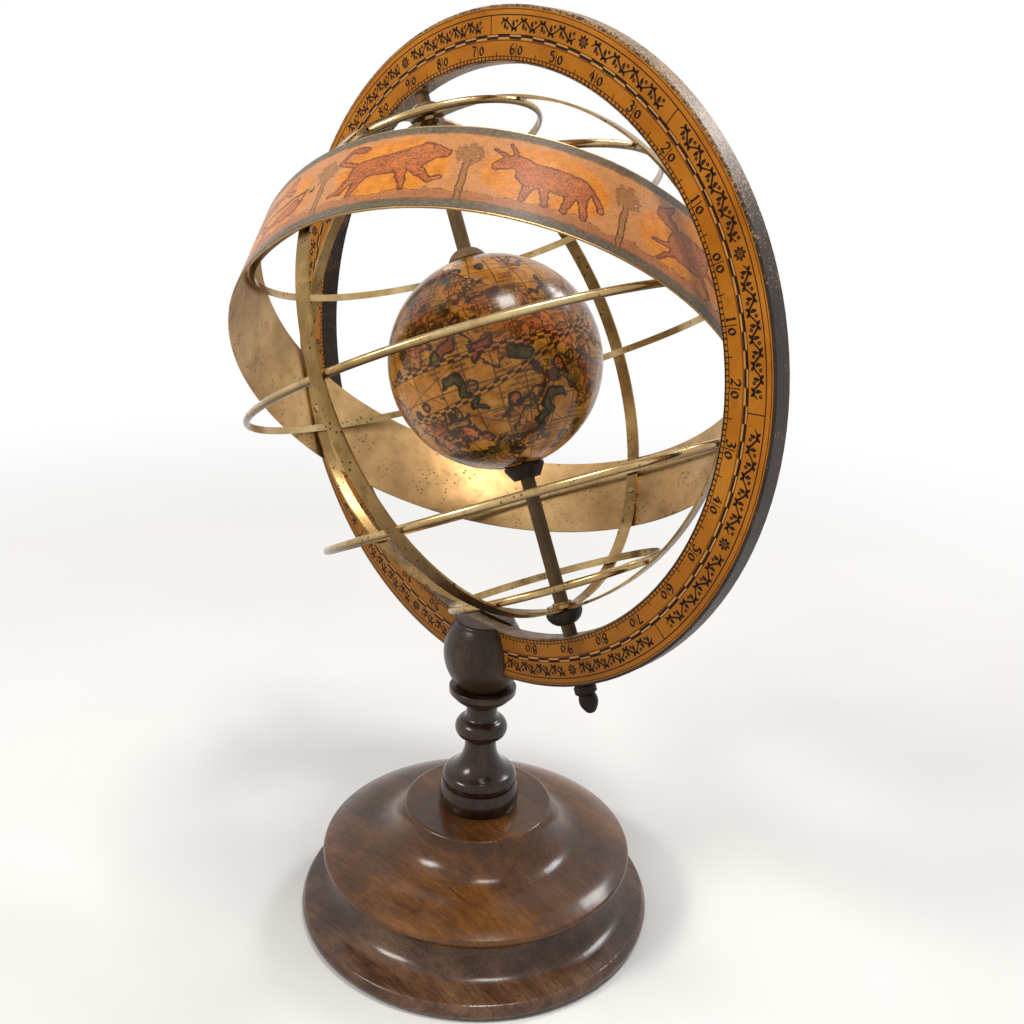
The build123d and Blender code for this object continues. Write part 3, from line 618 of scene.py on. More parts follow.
def smooth(points, count=5):
    """Catmull-Rom run through the points."""
    out = []
    n = len(points)
    for i in range(n - 1):
        p0 = Vector(points[max(0, i - 1)])
        p1 = Vector(points[i])
        p2 = Vector(points[i + 1])
        p3 = Vector(points[min(n - 1, i + 2)])
        for k in range(count):
            t = k / count
            out.append(
                0.5 * ((2 * p1) + (p2 - p0) * t + (2 * p0 - 5 * p1 + 4 * p2 - p3) * t * t
                       + (3 * p1 - p0 - 3 * p2 + p3) * t * t * t)
            )
    out.append(Vector(points[-1]))
    return [(v.x, v.y) for v in out]


def oval(cx, cy, rx, ry, count=18):
    return [
        (cx + rx * math.cos(2 * math.pi * i / count), cy + ry * math.sin(2 * math.pi * i / count))
        for i in range(count)
    ]


# Digits as pen strokes in a box 1 high, x about its middle.
DIGITS = {
    "0": [("closed", oval(0, 0.40, 0.25, 0.36))],
    "1": [("line", [(-0.16, 0.82), (0.02, 1.0), (0.02, 0.5), (0.02, 0.0)]),
          ("line", [(-0.14, 0.01), (0.18, 0.01)])],
    "2": [("curve", [(-0.26, 0.74), (-0.18, 0.94), (0.04, 1.0), (0.24, 0.84), (0.16, 0.56),
                     (-0.08, 0.28), (-0.28, 0.03), (-0.05, 0.08), (0.14, 0.0), (0.32, 0.12)])],
    "3": [("curve", [(-0.24, 0.92), (0.0, 1.0), (0.20, 0.84), (0.12, 0.62), (-0.06, 0.54)]),
          ("curve", [(-0.06, 0.54), (0.18, 0.50), (0.27, 0.25), (0.10, 0.02), (-0.14, -0.02),
                     (-0.28, 0.10)])],
    "4": [("line", [(0.12, 1.0), (-0.30, 0.34), (-0.02, 0.34), (0.32, 0.34)]),
          ("line", [(0.12, 0.74), (0.12, -0.04)])],
    "5": [("curve", [(0.28, 0.98), (0.06, 0.95), (-0.16, 0.96), (-0.18, 0.76), (-0.20, 0.58)]),
          ("curve", [(-0.20, 0.58), (0.04, 0.64), (0.25, 0.46), (0.24, 0.18), (0.04, 0.0),
                     (-0.24, 0.06)])],
    "6": [("curve", [(0.20, 1.0), (-0.06, 0.84), (-0.23, 0.52), (-0.24, 0.22), (-0.06, 0.0),
                     (0.16, 0.06), (0.25, 0.28), (0.12, 0.50), (-0.08, 0.48), (-0.22, 0.32)])],
    "7": [("line", [(-0.26, 0.96), (0.28, 0.96)]),
          ("curve", [(0.28, 0.96), (0.10, 0.56), (-0.02, 0.26), (-0.06, -0.02)])],
    "8": [("closed", oval(0, 0.76, 0.19, 0.22)), ("closed", oval(0, 0.26, 0.25, 0.28))],
    "9": [("curve", [(0.20, 0.70), (0.08, 0.50), (-0.12, 0.50), (-0.25, 0.72), (-0.16, 0.94),
                     (0.06, 1.0), (0.24, 0.80), (0.24, 0.48), (0.08, 0.16), (-0.18, -0.02)])],
}


def draw(sheet, strokes, angle, radius, size, pen):
    for kind, points in strokes:
        pts = smooth(points) if kind == "curve" else list(points)
        pts = [(x * size, y * size) for x, y in pts]
        sheet.stroke(pts, angle, radius, pen, closed=kind == "closed")


def leaf(sheet, angle, radius, foot, tip, bow, width):
    """Filled leaf from foot to tip (millimetres), bowed to one side."""
    a, b = Vector(foot), Vector(tip)
    d = b - a
    normal = Vector((-d.y, d.x)).normalized()
    left, right = [], []
    for k in range(8):
        t = k / 7
        mid = a + d * t + normal * (bow * math.sin(math.pi * t))
        half = normal * (width / 2 * max(0.12, math.sin(math.pi * t) ** 0.8))
        left.append(mid + half)
        right.append(mid - half)

    def bend(p):
        return (radius + p.y, angle + math.degrees(p.x / radius))

    sheet.ribbon([bend(p) for p in left], [bend(p) for p in right])


def vine(sheet, angle, radius, length, size):
    """Running vine about its middle: a wavy stem with paired leaves and buds."""
    waves = max(1, round(length / (1.75 * size)))
    pitch = length / waves
    amp = size * 0.27
    stem = []
    for k in range(waves * 10 + 1):
        x = -length / 2 + pitch * k / 10
        stem.append((x, size / 2 + amp * math.sin(2 * math.pi * k / 10)))
    sheet.stroke(stem, angle, radius, 0.95, thin=0.7)
    for k in range(waves * 2):
        up = 1 if k % 2 == 0 else -1
        x = -length / 2 + pitch * (k / 2 + 0.25)
        top = size / 2 + up * size * 0.5
        base = size / 2 + up * amp
        reach = size * 0.30
        inner = size / 2 - up * size * 0.34
        leaf(sheet, angle, radius, (x, base), (x - reach, top), 0.25 * up, 1.45)
        leaf(sheet, angle, radius, (x, base), (x + reach, top), -0.25 * up, 1.45)
        leaf(sheet, angle, radius, (x, base - up * 0.5), (x - 0.5, inner), 0.3, 1.6)
        bud = oval(x + 1.5, inner + up * 0.5, 0.5, 0.5, 8)
        sheet.stroke(bud, angle, radius, 0.6, thin=1.0, closed=True)


def rosette(sheet, angle, radius, size):
    """Eight-petalled flower."""
    middle = size / 2
    for k in range(8):
        a = math.radians(45 * k)
        c, n = math.cos(a), math.sin(a)
        foot = (c * size * 0.14, middle + n * size * 0.14)
        tip = (c * size * 0.50, middle + n * size * 0.50)
        leaf(sheet, angle, radius, foot, tip, 0.0, 1.3)
    sheet.stroke(oval(0, middle, 0.5, 0.5, 10), angle, radius, 0.45, thin=1.0, closed=True)


def print_scale(side, name):
    """The whole degree scale of one face."""
    dark = Sheet(side)
    pale = Sheet(side)
    dark.arc(PAPER_IN + 0.2, 0.4)
    dark.arc(LADDER_R, 0.34)
    for deg in range(360):
        if deg % 10 == 0:
            dark.tick(deg, PAPER_IN, TICK_10, 0.42)
        elif deg % 5 == 0:
            dark.tick(deg, PAPER_IN, TICK_5, 0.46)
        else:
            dark.tick(deg, PAPER_IN, LADDER_R, 0.62)
    for deg in range(0, 360, 10):
        value = abs(90 - (deg % 180))
        text = str(value) if value else "00"
        for index, digit in enumerate(text):
            shift = (-2.45 if index == 0 else 2.45) / (DIGIT_R + 2) * 180 / math.pi
            draw(dark, DIGITS[digit], deg + shift, DIGIT_R, DIGIT_H, 1.15)
    dark.arc(RULE_R, 0.3)
    dark.arc(LANE_2, 0.22)
    dark.arc(LANE_END, 0.3)
    pairs = 64
    pitch = 360 / pairs
    for k in range(pairs):
        a = k * pitch
        # black and pale blocks that change lanes half way through each pitch
        for lane, start in (((LANE_1, LANE_2), a), ((LANE_2, LANE_END), a + pitch / 2)):
            mid = (lane[0] + lane[1]) / 2
            dark.arc(mid, lane[1] - lane[0], start, start + pitch / 2, 1.4)
            gap = 0.15
            pale.arc(mid, lane[1] - lane[0] - 0.35, start + pitch / 2 + gap,
                     start + pitch - gap, 1.2)
    dark.arc(TOP_RULE_R, 0.5)
    dark.arc(EDGE_RULE_R, 0.3)
    cuts = sorted((90 - lat) % 360 for lat in (66.5, 23.5, -23.5, -66.5))
    cuts = sorted(cuts + [(360 - a) % 360 for a in cuts])
    for i, start in enumerate(cuts):
        dark.tick(start, LANE_END, TOP_RULE_R, 0.5)
        draw_zone(dark, start, (cuts[(i + 1) % len(cuts)] - start) % 360)
    dark.build(name + "_ink", INK)
    pale.build(name + "_pale", PALE)


def draw_zone(sheet, start, span):
    """A flower between two runs of vine, with bare paper at the ends."""
    size = ORNAMENT_H
    middle = ORNAMENT_R + size / 2
    total = math.radians(span) * middle
    run = (total - 4.0 * size) / 2
    for side in (-1, 1):
        shift = math.degrees(side * (run / 2 + size * 0.9) / middle)
        vine(sheet, start + span / 2 + shift, ORNAMENT_R, run, size)
    rosette(sheet, start + span / 2, ORNAMENT_R, size)


INK = ink()
PALE = pale_ink()
print_scale(1, "scale_front")
print_scale(-1, "scale_back")


# ---------------------------------------------------------- zodiac's print
BEAST = [
    (-12, 1, 8, 3, 4.4, 5.2), (10, 4, 13, 6, 6.2, 5.2), (17, 7, 21, 6, 3.2, 2.0),
    (-13, 0, -19, -8, 3.0, 1.4), (-19, -8, -23, -9, 1.3, 0.9), (-10, -1, -14, -11, 2.6, 1.1),
    (9, 0, 17, -7, 2.4, 1.2), (17, -7, 21, -6, 1.2, 0.9), (5, -1, 8, -11, 2.2, 1.0),
    (-15, 4, -23, 8, 0.9, 0.8), (-23, 8, -19, 13, 0.8, 0.7), (-19, 13, -13, 12, 0.7, 1.6),
]
HORNED = [
    (-6, 1, 12, 1, 6.2, 5.4), (-9, 4, -13, 6, 4.2, 3.2), (-16, 5, -20, 2, 3.0, 2.0),
    (-14, 9, -16, 14, 0.9, 0.5), (-17, 8, -22, 11, 0.9, 0.5), (-6, -3, -8, -12, 2.0, 1.1),
    (-1, -3, 1, -12, 1.9, 1.1), (10, -2, 8, -12, 2.2, 1.2), (14, -1, 16, -12, 2.2, 1.2),
    (17, 3, 22, -5, 0.8, 1.4),
]
FISHES = [
    (-14, 6, 2, 8, 3.8, 1.2), (3, 8, 8, 12, 0.9, 1.8), (3, 8, 9, 5, 0.9, 1.6),
    (14, -5, -2, -7, 3.8, 1.2), (-3, -7, -8, -11, 0.9, 1.8), (-3, -7, -9, -4, 0.9, 1.6),
    (-18, 5, -22, -1, 0.4, 0.4), (-22, -1, 20, 1, 0.4, 0.4), (20, 1, 18, -5, 0.4, 0.4),
]
CRAB = [
    (-3, 0, 4, 0, 6.6, 6.6), (8, 5, 15, 9, 1.6, 2.6), (15, 9, 11, 14, 2.2, 0.7),
    (-7, 5, -14, 9, 1.6, 2.6), (-14, 9, -10, 14, 2.2, 0.7), (8, -2, 17, -4, 1.1, 0.5),
    (7, -4, 14, -11, 1.1, 0.5), (-7, -2, -16, -4, 1.1, 0.5), (-6, -4, -13, -11, 1.1, 0.5),
]
BAND_R = 125.7            # radius of the zodiac band's print, mm
PANEL = 2 * math.pi * BAND_R / 12


def zodiac_print():
    """Twelve panels with beasts in red wash and brown line on gold, between grey edges."""
    m = Mat("zodiac_paper")
    x, y, z = m.xyz(m.local(CENTRE, *zodiac_axes()))
    lon = m.math("ARCTAN2", y, x)
    u = m.math("MULTIPLY_ADD", lon, BAND_R, 12 * PANEL - math.radians(8) * BAND_R)
    uv = m.join(u, z, 0.0)
    warp = m.vec("SUBTRACT", m.noise_col(uv, 0.22, 3.0, 0.6), (0.5, 0.5, 0.5))
    pu, pv, _ = m.xyz(m.vec("ADD", uv, m.scaled(warp, 3.2, 3.2, 0.0)))
    # place within a run of four panels
    su = m.math("FLOORED_MODULO", pu, 4 * PANEL)
    p = m.join(su, pv, 0.0)
    parts = [
        m.figure(p, BEAST, (0.5 * PANEL, 0), 1.12),
        m.figure(p, HORNED, (1.5 * PANEL, 0), 1.05),
        m.figure(p, CRAB, (2.5 * PANEL, 0), 1.15),
        m.figure(p, FISHES, (3.5 * PANEL, 0), 1.12),
    ]
    body = m.many("MINIMUM", *parts)
    cell = m.math("PINGPONG", pu, PANEL / 2)              # from 0 at a panel's edge
    # ground and sky
    rough_edge = m.noise(uv, 0.11, 4.0, 0.6)
    paper = m.ramp(
        m.noise(uv, 0.16, 4.0, 0.65),
        (0.25, srgb(178, 98, 20)), (0.5, srgb(208, 126, 32)), (0.8, srgb(222, 152, 62)),
    )
    # each beast stands on a golden oval; the ground between them is pinkish
    place = m.join(m.math("MULTIPLY", m.math("SUBTRACT", PANEL / 2, cell), 0.62), pv, 0.0)
    oval_d = m.math("SUBTRACT", m.vec("LENGTH", place), 16.0)
    between = m.step(m.math("MULTIPLY_ADD", rough_edge, 5.0, oval_d), 1.2, 4.0)
    paper = m.mix(m.math("MULTIPLY", between, 0.7), paper, srgb(186, 132, 88))
    red = m.mix(m.noise(uv, 0.35, 3.0, 0.6), srgb(150, 60, 30), srgb(204, 118, 62))
    fill = m.step(body, -0.2, 0.4, 1.0, 0.0)
    soil_top = m.math("MULTIPLY_ADD", rough_edge, 9.0, -18.2)
    soil = m.step(m.math("SUBTRACT", soil_top, pv), 0.0, 0.9)
    soil_col = m.mix(m.noise(uv, 0.3, 3.0), srgb(178, 104, 62), srgb(132, 92, 62))
    col = m.mix(m.math("MULTIPLY", soil, 0.75), paper, soil_col)
    col = m.mix(m.math("MULTIPLY", fill, 0.82), col, red)
    # trees between the panels
    crown = m.vec("LENGTH", m.join(cell, m.math("SUBTRACT", pv, 7.0), 0.0))
    ragged_edge = m.noise(uv, 0.42, 3.0, 0.7)
    crown = m.math("SUBTRACT", crown, m.math("MULTIPLY_ADD", ragged_edge, 15.0, -2.4))
    trunk = m.math("MAXIMUM", m.math("SUBTRACT", cell, 1.3), m.math("SUBTRACT", pv, 8.0))
    tree = m.math("MINIMUM", crown, trunk)
    col = m.mix(m.step(tree, -0.2, 0.4, 0.8, 0.0), col,
                m.mix(m.noise(uv, 0.7, 3.0), srgb(112, 84, 50), srgb(176, 118, 62)))
    # drawn lines: outlines, folds inside the bodies, hatching
    lines = m.math("MAXIMUM", m.line(body, 0.0, 0.75, 0.35), m.line(tree, 0.0, 0.6, 0.35))
    lines = m.math("MAXIMUM", lines, m.line(m.math("SUBTRACT", soil_top, pv), 0.0, 0.4, 0.3))
    fold_n = m.noise(m.scaled(uv, 0.16, 0.26, 1.0), 1.0, 3.0, 0.55, 1.2)
    fold = m.math("MAXIMUM", m.line(fold_n, 0.46, 0.03, 0.02), m.line(fold_n, 0.56, 0.03, 0.02))
    fold = m.math("MULTIPLY", fold, m.math("MULTIPLY_ADD", fill, 0.65, 0.35))
    lines = m.math("MAXIMUM", lines, fold)
    slant = m.math("MULTIPLY_ADD", pv, 0.8, pu)
    hatch = m.step(m.math("SINE", m.math("MULTIPLY", slant, 4.4)), 0.2, 0.7)
    shade = m.math("MULTIPLY", fill, m.step(body, -3.6, -0.8))
    shade = m.math("MAXIMUM", shade, m.math("MULTIPLY", soil, 0.8))
    shade = m.math("MAXIMUM", shade, m.step(tree, -0.6, 0.2, 0.8, 0.0))
    worn = m.step(m.noise(uv, 0.5, 3.0, 0.6), 0.40, 0.58)
    lines = m.math("MAXIMUM", lines, m.many("MULTIPLY", hatch, shade, worn, 0.7))
    col = m.mix(m.math("MULTIPLY", lines, 0.88), col, srgb(70, 34, 20))
    # grey-olive edges
    edge = m.math("ABSOLUTE", z)
    ragged = m.math("MULTIPLY_ADD", m.noise(uv, 0.25, 3.0), 2.0, edge)
    olive = m.ramp(
        m.noise(uv, 0.6, 4.0, 0.7),
        (0.3, srgb(66, 58, 46)), (0.55, srgb(98, 87, 70)), (0.8, srgb(136, 120, 98)),
    )
    col = m.mix(m.step(ragged, 19.0, 19.6), col, olive)
    col = m.mix(m.math("MULTIPLY", m.line(ragged, 19.0, 0.5, 0.4), 0.6), col, srgb(90, 54, 34))
    grain = m.noise(uv, 3.0, 3.0, 0.75)
    col = m.mix(m.math("MULTIPLY", m.step(grain, 0.5, 0.72), 0.25), col, srgb(112, 80, 58))
    pale = m.math("MULTIPLY", m.step(grain, 0.5, 0.30), m.step(m.noise(uv, 0.03, 2.0), 0.4, 0.6))
    col = m.mix(m.math("MULTIPLY", pale, 0.35), col, srgb(228, 200, 168))
    m.set(Base_Color=col, Roughness=m.math("MULTIPLY_ADD", grain, 0.25, 0.28))
    m.set(Normal=m.bump(grain, 0.00006, 0.5))
    m.set(Coat_Weight=0.3, Coat_Roughness=0.3, Coat_IOR=1.4, Specular_IOR_Level=0.1)
    return m


paint(["zodiac_print"], zodiac_print())


# --------------------------------------------------------------- the globe
SERPENT = [
    (-7, 7, -3, 8, 1.6, 2.0), (-3, 8, 0, 4, 2.0, 1.7), (0, 4, -2, 0, 1.7, 1.5),
    (-2, 0, 3, -3, 1.5, 1.2), (3, -3, 1, -7, 1.2, 0.9), (1, -7, 6, -9, 0.9, 0.5),
    (-7, 7, -10, 5, 1.0, 0.3),
]
SHIP = [
    (-5, -2, 5, -2, 1.5, 1.5), (0, 0, 0, 7, 0.35, 0.25), (-3, 2, -2, 5, 1.6, 0.6),
    (3, 2, 3.5, 5, 1.7, 0.6), (5, -1, 8, 1, 0.5, 0.3),
]
ISLE = [(-3, 0, 2, 1, 2.0, 2.6), (2, 1, 4, 4, 2.0, 1.0), (-2, -1, -4, -4, 1.6, 0.8)]


GLOBE_R = 52.3            # radius of the globe, mm


def globe_paper():
    """Old-map gores: gold sea, red and green lands, dense brown-black engraving."""
    m = Mat("globe_paper")
    v = m.local(CENTRE, SIDE, ACROSS, AXIS)
    x, y, z = m.xyz(v)
    radius = m.vec("LENGTH", v)
    unit = m.vec("DIVIDE", v, (GLOBE_R, GLOBE_R, GLOBE_R))
    lat_d = m.math("MULTIPLY", m.math("ARCSINE", m.math("DIVIDE", z, radius)), TO_DEG)
    lon_d = m.math("MULTIPLY", m.math("ARCTAN2", y, x), TO_DEG)
    cos_lat = m.math("COSINE", m.math("MULTIPLY", lat_d, TO_RAD))

    mottle = m.noise(unit, 6.0, 4.0, 0.6)
    sea = m.ramp(
        mottle, (0.25, srgb(142, 84, 20)), (0.5, srgb(182, 118, 36)), (0.8, srgb(214, 154, 66)),
    )
    land_n = m.noise(unit, 1.7, 6.0, 0.58, 0.2)
    land = m.step(land_n, 0.515, 0.525)
    ground = m.ramp(
        m.noise(unit, 2.8, 2.0),
        (0.34, srgb(76, 82, 30)), (0.44, srgb(170, 116, 40)), (0.54, srgb(196, 118, 58)),
        (0.66, srgb(184, 92, 54)),
    )
    col = m.mix(m.math("MULTIPLY", land, 0.72), sea, ground)

    # islands: small bordered patches, some filled red or green
    stir = m.scaled(m.noise_col(unit, 7.0, 3.0), 0.12, 0.12, 0.12)
    cells = m.voronoi(m.vec("ADD", unit, stir), 4.6)
    spot = cells["Distance"]
    pick, pick2, pick3 = m.xyz(cells["Color"])
    size = m.math("MULTIPLY_ADD", pick, 0.26, 0.12)
    isle = m.math("SUBTRACT", spot, size)
    isle = m.math("MULTIPLY", isle, 11.4)                 # about millimetres
    isle_on = m.step(pick2, 0.34, 0.35)
    isle_fill = m.math("MULTIPLY", m.step(isle, -0.2, 0.1, 1.0, 0.0), isle_on)
    isle_col = m.ramp(pick3, (0.2, srgb(160, 76, 42)), (0.45, srgb(66, 74, 28)),
                      (0.7, srgb(140, 88, 30)))
    col = m.mix(m.math("MULTIPLY", isle_fill, 0.8), col, isle_col)

    dark = m.math("MULTIPLY", m.line(isle, 0.0, 1.5, 0.4), isle_on)
    fringe = m.math("MULTIPLY", m.step(isle, 0.1, 1.5, 1.0, 0.0), isle_on)
    coast = m.line(land_n, 0.520, 0.030, 0.010)
    off_shore = m.step(land_n, 0.515, 0.52, 1.0, 0.0)
    halo = m.math("MULTIPLY", m.step(land_n, 0.480, 0.515), off_shore)
    near = m.math("MAXIMUM", halo, m.math("MULTIPLY", fringe, m.step(isle, 0.0, 0.1)))
    hatch = m.step(m.math("SINE", m.math("MULTIPLY", lat_d, 7.0)), 0.0, 0.5)
    dark = m.many("MAXIMUM", dark, coast, m.many("MULTIPLY", near, hatch, 0.85))

    # hills and rivers on land, lines of tiny scribble in patches
    detail = m.noise(unit, 7.0, 4.0, 0.58, 1.2)
    inland = m.step(land_n, 0.50, 0.56, 0.1, 0.85)
    hills = m.math("MULTIPLY", m.line(detail, 0.5, 0.075, 0.03), inland)
    rows = m.math("PINGPONG", lat_d, 1.35)
    in_row = m.step(rows, 0.45, 0.65)
    scrib = m.noise(m.join(m.math("MULTIPLY", m.math("MULTIPLY", lon_d, cos_lat), 1.5),
                           m.math("MULTIPLY", lat_d, 0.9), 0.0), 1.0, 2.0, 0.6, 1.0)
    words = m.step(m.noise(unit, 8.0, 2.0), 0.46, 0.50)
    patch = m.step(m.noise(unit, 2.4, 2.0), 0.47, 0.52)
    scribble = m.many("MULTIPLY", in_row, m.line(scrib, 0.5, 0.15, 0.05), words, patch)
    dark = m.many("MAXIMUM", dark, hills, m.math("MULTIPLY", scribble, 0.9))

    # graticule every 15 degrees, and a few long straight courses
    grid = m.line(m.math("PINGPONG", lat_d, 7.5), 0.0, 0.8, 0.3)
    lon_step = m.math("MULTIPLY", m.math("PINGPONG", lon_d, 7.5), cos_lat)
    grid = m.math("MAXIMUM", grid, m.line(lon_step, 0.0, 0.8, 0.3))
    for n in ((0.62, 0.55, 0.56), (-0.5, 0.62, 0.6), (0.3, 0.2, -0.93), (0.7, -0.1, 0.7)):
        away = m.math("ABSOLUTE", m.vec("DOT_PRODUCT", unit, tuple(Vector(n).normalized())))
        grid = m.math("MAXIMUM", grid, m.step(away, 0.004, 0.008, 0.8, 0.0))
    dark = m.math("MAXIMUM", dark, m.math("MULTIPLY", grid, 0.75))

    # compass roses, a ship, a sea serpent and two islands, each on its own flat patch
    def patch_at(lon, lat):
        a, b = math.radians(lon), math.radians(lat)
        out = Vector((math.cos(b) * math.cos(a), math.cos(b) * math.sin(a), math.sin(b)))
        east = Vector((-math.sin(a), math.cos(a), 0))
        north = out.cross(east)
        px = m.vec("DOT_PRODUCT", v, tuple(east))
        py = m.vec("DOT_PRODUCT", v, tuple(north))
        front = m.step(m.vec("DOT_PRODUCT", v, tuple(out)), 20.0, 21.0)
        return px, py, front

    for lon, lat, reach in ((-14, -20, 5.0), (-95, 12, 5.0), (80, -15, 6.0), (160, 25, 6.0)):
        px, py, front = patch_at(lon, lat)
        away = m.vec("LENGTH", m.join(px, py, 0.0))
        turned = m.math("MULTIPLY", m.math("ARCTAN2", py, px), 8.0)
        spokes = m.math("ABSOLUTE", m.math("SINE", turned))
        width = m.math("MULTIPLY", away, spokes)
        short = m.step(away, reach * 2.3, reach * 2.5, 1.0, 0.0)
        rays = m.math("MULTIPLY", m.step(width, 0.5, 2.2, 1.0, 0.0), short)
        disc = m.step(away, reach * 0.55, reach * 0.62, 1.0, 0.0)
        rim = m.line(away, reach * 0.6, 0.7, 0.3)
        rose = m.many("MAXIMUM", m.math("MULTIPLY", rays, 0.6), rim,
                      m.math("MULTIPLY", disc, m.step(spokes, 0.3, 0.6)))
        dark = m.math("MAXIMUM", dark, m.math("MULTIPLY", rose, front))
    green, rose_red, pale = srgb(58, 68, 26), srgb(158, 76, 42), srgb(190, 132, 60)
    drawings = (
        (SERPENT, -62, -18, 1.0, green), (SHIP, -76, -30, 1.0, pale), (ISLE, -48, 1, 1.1, rose_red),
        (ISLE, -30, -6, -1.2, green), (SERPENT, -20, -38, -1.1, green), (ISLE, -66, 6, 1.0, rose_red),
        (SERPENT, 60, -24, 1.1, green), (SHIP, 110, 10, 1.2, pale), (SHIP, -150, -20, 1.2, pale),
    )
    wobble = m.noise(unit, 20.0, 2.0)
    shake = m.vec("SUBTRACT", m.noise_col(unit, 9.0, 3.0), (0.5, 0.5, 0.5))
    shake = m.scaled(shake, 4.0, 4.0, 0.0)
    for rods, lon, lat, scale, tint in drawings:
        px, py, front = patch_at(lon, lat)
        p = m.vec("ADD", m.join(px, py, 0.0), shake)
        d = m.figure(p, rods, (0, 0), scale, 0.5)
        fill = m.math("MULTIPLY", m.step(d, -0.2, 0.2, 1.0, 0.0), front)
        col = m.mix(m.math("MULTIPLY", fill, 0.85), col, tint)
        dark = m.math("MULTIPLY", dark, m.math("MULTIPLY_ADD", fill, -0.8, 1.0))
        edge = m.line(d, 0.1, 1.3, 0.4)
        scales = m.many("MULTIPLY", fill, m.step(wobble, 0.52, 0.58), 0.8)
        shade = m.many("MULTIPLY", m.step(d, 0.3, 1.3, 1.0, 0.0), hatch, 0.7)
        drawn = m.many("MAXIMUM", edge, scales, shade)
        dark = m.math("MAXIMUM", dark, m.math("MULTIPLY", drawn, front))

    # chequered equator and ecliptic
    tilt = math.radians(23.5)
    ec = m.vec("DOT_PRODUCT", unit, (0.0, -math.sin(tilt), math.cos(tilt)))
    ec_lat = m.math("MULTIPLY", m.math("ARCSINE", ec), TO_DEG)
    for lat in (lat_d, ec_lat):
        away = m.math("ABSOLUTE", lat)
        turn = m.math("SINE", m.math("MULTIPLY", lon_d, 0.8))
        upper = m.math("MULTIPLY", m.step(lat, 0.0, 0.1), m.step(turn, 0.0, 0.12))
        lower = m.step(turn, -0.12, 0.0, 1.0, 0.0)
        lower = m.math("MULTIPLY", m.step(lat, 0.0, 0.1, 1.0, 0.0), lower)
        band = m.step(away, 1.35, 1.5, 1.0, 0.0)
        dark = m.math("MULTIPLY", dark, m.math("MULTIPLY_ADD", band, -0.8, 1.0))
        chequer = m.math("MULTIPLY", band, m.math("MAXIMUM", upper, lower))
        dark = m.many("MAXIMUM", dark, chequer, m.line(away, 1.5, 0.45, 0.25))

    col = m.mix(m.math("MULTIPLY", dark, 0.92), col, srgb(24, 14, 7))
    age = m.noise(unit, 2.2, 3.0, 0.6)
    col = m.mix(m.math("MULTIPLY", m.step(age, 0.46, 0.72), 0.45), col, srgb(110, 66, 32))
    m.set(Base_Color=col, Roughness=m.math("MULTIPLY_ADD", mottle, 0.15, 0.2))
    m.set(Normal=m.bump(m.noise(unit, 30.0, 3.0, 0.6), 0.0001, 0.3))
    m.set(Coat_Weight=0.4, Coat_Roughness=0.16, Specular_IOR_Level=0.1)
    return m


paint(["globe_north", "globe_south"], globe_paper())


# ----------------------------------------------------------- floor, lights
FLOOR_HALF = 8.0          # half the floor's width, metres
FLOOR_NEAR = 0.30         # the floor starts to fade to white here
FLOOR_FAR = 1.20          # and is white from here on
SOFT_LIGHT = 0.42         # strength of the surroundings as light on the object


def stage():
    """Pale floor that keeps the shadow and goes white far away, for camera and gloss."""
    mat = Mat("floor")
    n = mat.noise(mat.obj, 6.0, 2.0)
    mat.set(Base_Color=mat.ramp(n, (0.3, (0.80, 0.80, 0.79)), (0.7, (0.83, 0.83, 0.82))))
    mat.set(Roughness=0.9, Specular_IOR_Level=0.1)
    path = mat.new("LightPath")
    seen = mat.many("MAXIMUM", path.outputs["Is Camera Ray"], path.outputs["Is Glossy Ray"],
                    path.outputs["Is Transmission Ray"])
    far = mat.step(mat.vec("LENGTH", mat.obj), FLOOR_NEAR, FLOOR_FAR)
    white = mat.new("Emission")
    blend = mat.new("MixShader")
    mat.put(blend.inputs[0], mat.math("MULTIPLY", far, seen))
    mat.put(blend.inputs[1], mat.bsdf.outputs[0])
    mat.put(blend.inputs[2], white.outputs[0])
    mat.put(mat.out.inputs[0], blend.outputs[0])
    half = FLOOR_HALF
    corners = [(-half, -half), (half, -half), (half, half), (-half, half)]
    mesh = bpy.data.meshes.new("floor")
    mesh.from_pydata([(x, y, -0.0001) for x, y in corners], [], [(0, 1, 2, 3)])
    mesh.materials.append(mat.mat)
    obj = bpy.data.objects.new("floor", mesh)
    bpy.context.scene.collection.objects.link(obj)


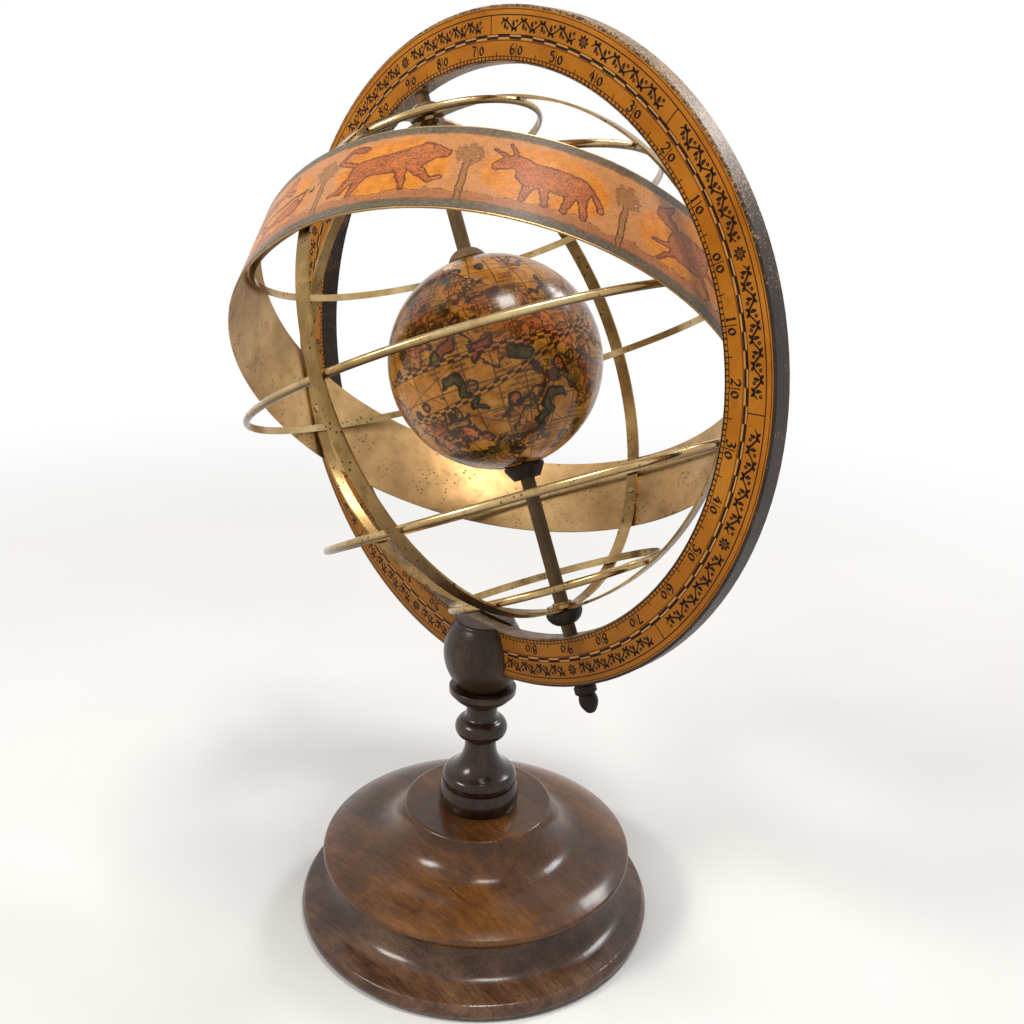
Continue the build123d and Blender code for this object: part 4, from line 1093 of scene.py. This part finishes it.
def sky():
    """Soft grey light on the object; white where the camera or a reflection sees it."""
    world = bpy.data.worlds.new("world")
    bpy.context.scene.world = world
    world.use_nodes = True
    tree = world.node_tree
    tree.nodes.clear()
    path = tree.nodes.new("ShaderNodeLightPath")
    seen = None
    for name in ("Is Camera Ray", "Is Glossy Ray", "Is Transmission Ray"):
        if seen is None:
            seen = path.outputs[name]
            continue
        node = tree.nodes.new("ShaderNodeMath")
        node.operation = "MAXIMUM"
        tree.links.new(seen, node.inputs[0])
        tree.links.new(path.outputs[name], node.inputs[1])
        seen = node.outputs[0]
    soft = tree.nodes.new("ShaderNodeBackground")
    soft.inputs[0].default_value = (0.80, 0.80, 0.82, 1.0)
    soft.inputs[1].default_value = SOFT_LIGHT
    white = tree.nodes.new("ShaderNodeBackground")
    white.inputs[0].default_value = (1.0, 1.0, 1.0, 1.0)
    white.inputs[1].default_value = 1.0
    mix = tree.nodes.new("ShaderNodeMixShader")
    out = tree.nodes.new("ShaderNodeOutputWorld")
    tree.links.new(seen, mix.inputs[0])
    tree.links.new(soft.outputs[0], mix.inputs[1])
    tree.links.new(white.outputs[0], mix.inputs[2])
    tree.links.new(mix.outputs[0], out.inputs[0])


def lamp(name, at, aim, size, power, colour=(1, 1, 1), size_y=None):
    data = bpy.data.lights.new(name, "AREA")
    data.energy = power
    data.color = colour
    data.size = size
    if size_y:
        data.shape = "RECTANGLE"
        data.size_y = size_y
    obj = bpy.data.objects.new(name, data)
    obj.location = at
    d = Vector(aim) - Vector(at)
    obj.rotation_euler = d.to_track_quat("-Z", "Y").to_euler()
    bpy.context.scene.collection.objects.link(obj)
    return obj


stage()
sky()
MID = tuple(CENTRE)
lamp("over", (0.36, -0.10, 1.65), MID, 0.34, 13.0, (1.0, 0.95, 0.88))
lamp("left", (-0.55, -1.35, 1.35), MID, 0.6, 17.0, (1.0, 0.97, 0.93), 0.3)
lamp("back", (0.15, 1.25, 1.35), MID, 0.36, 9.0, (0.97, 0.98, 1.0))

bpy.context.scene.view_settings.view_transform = "Standard"
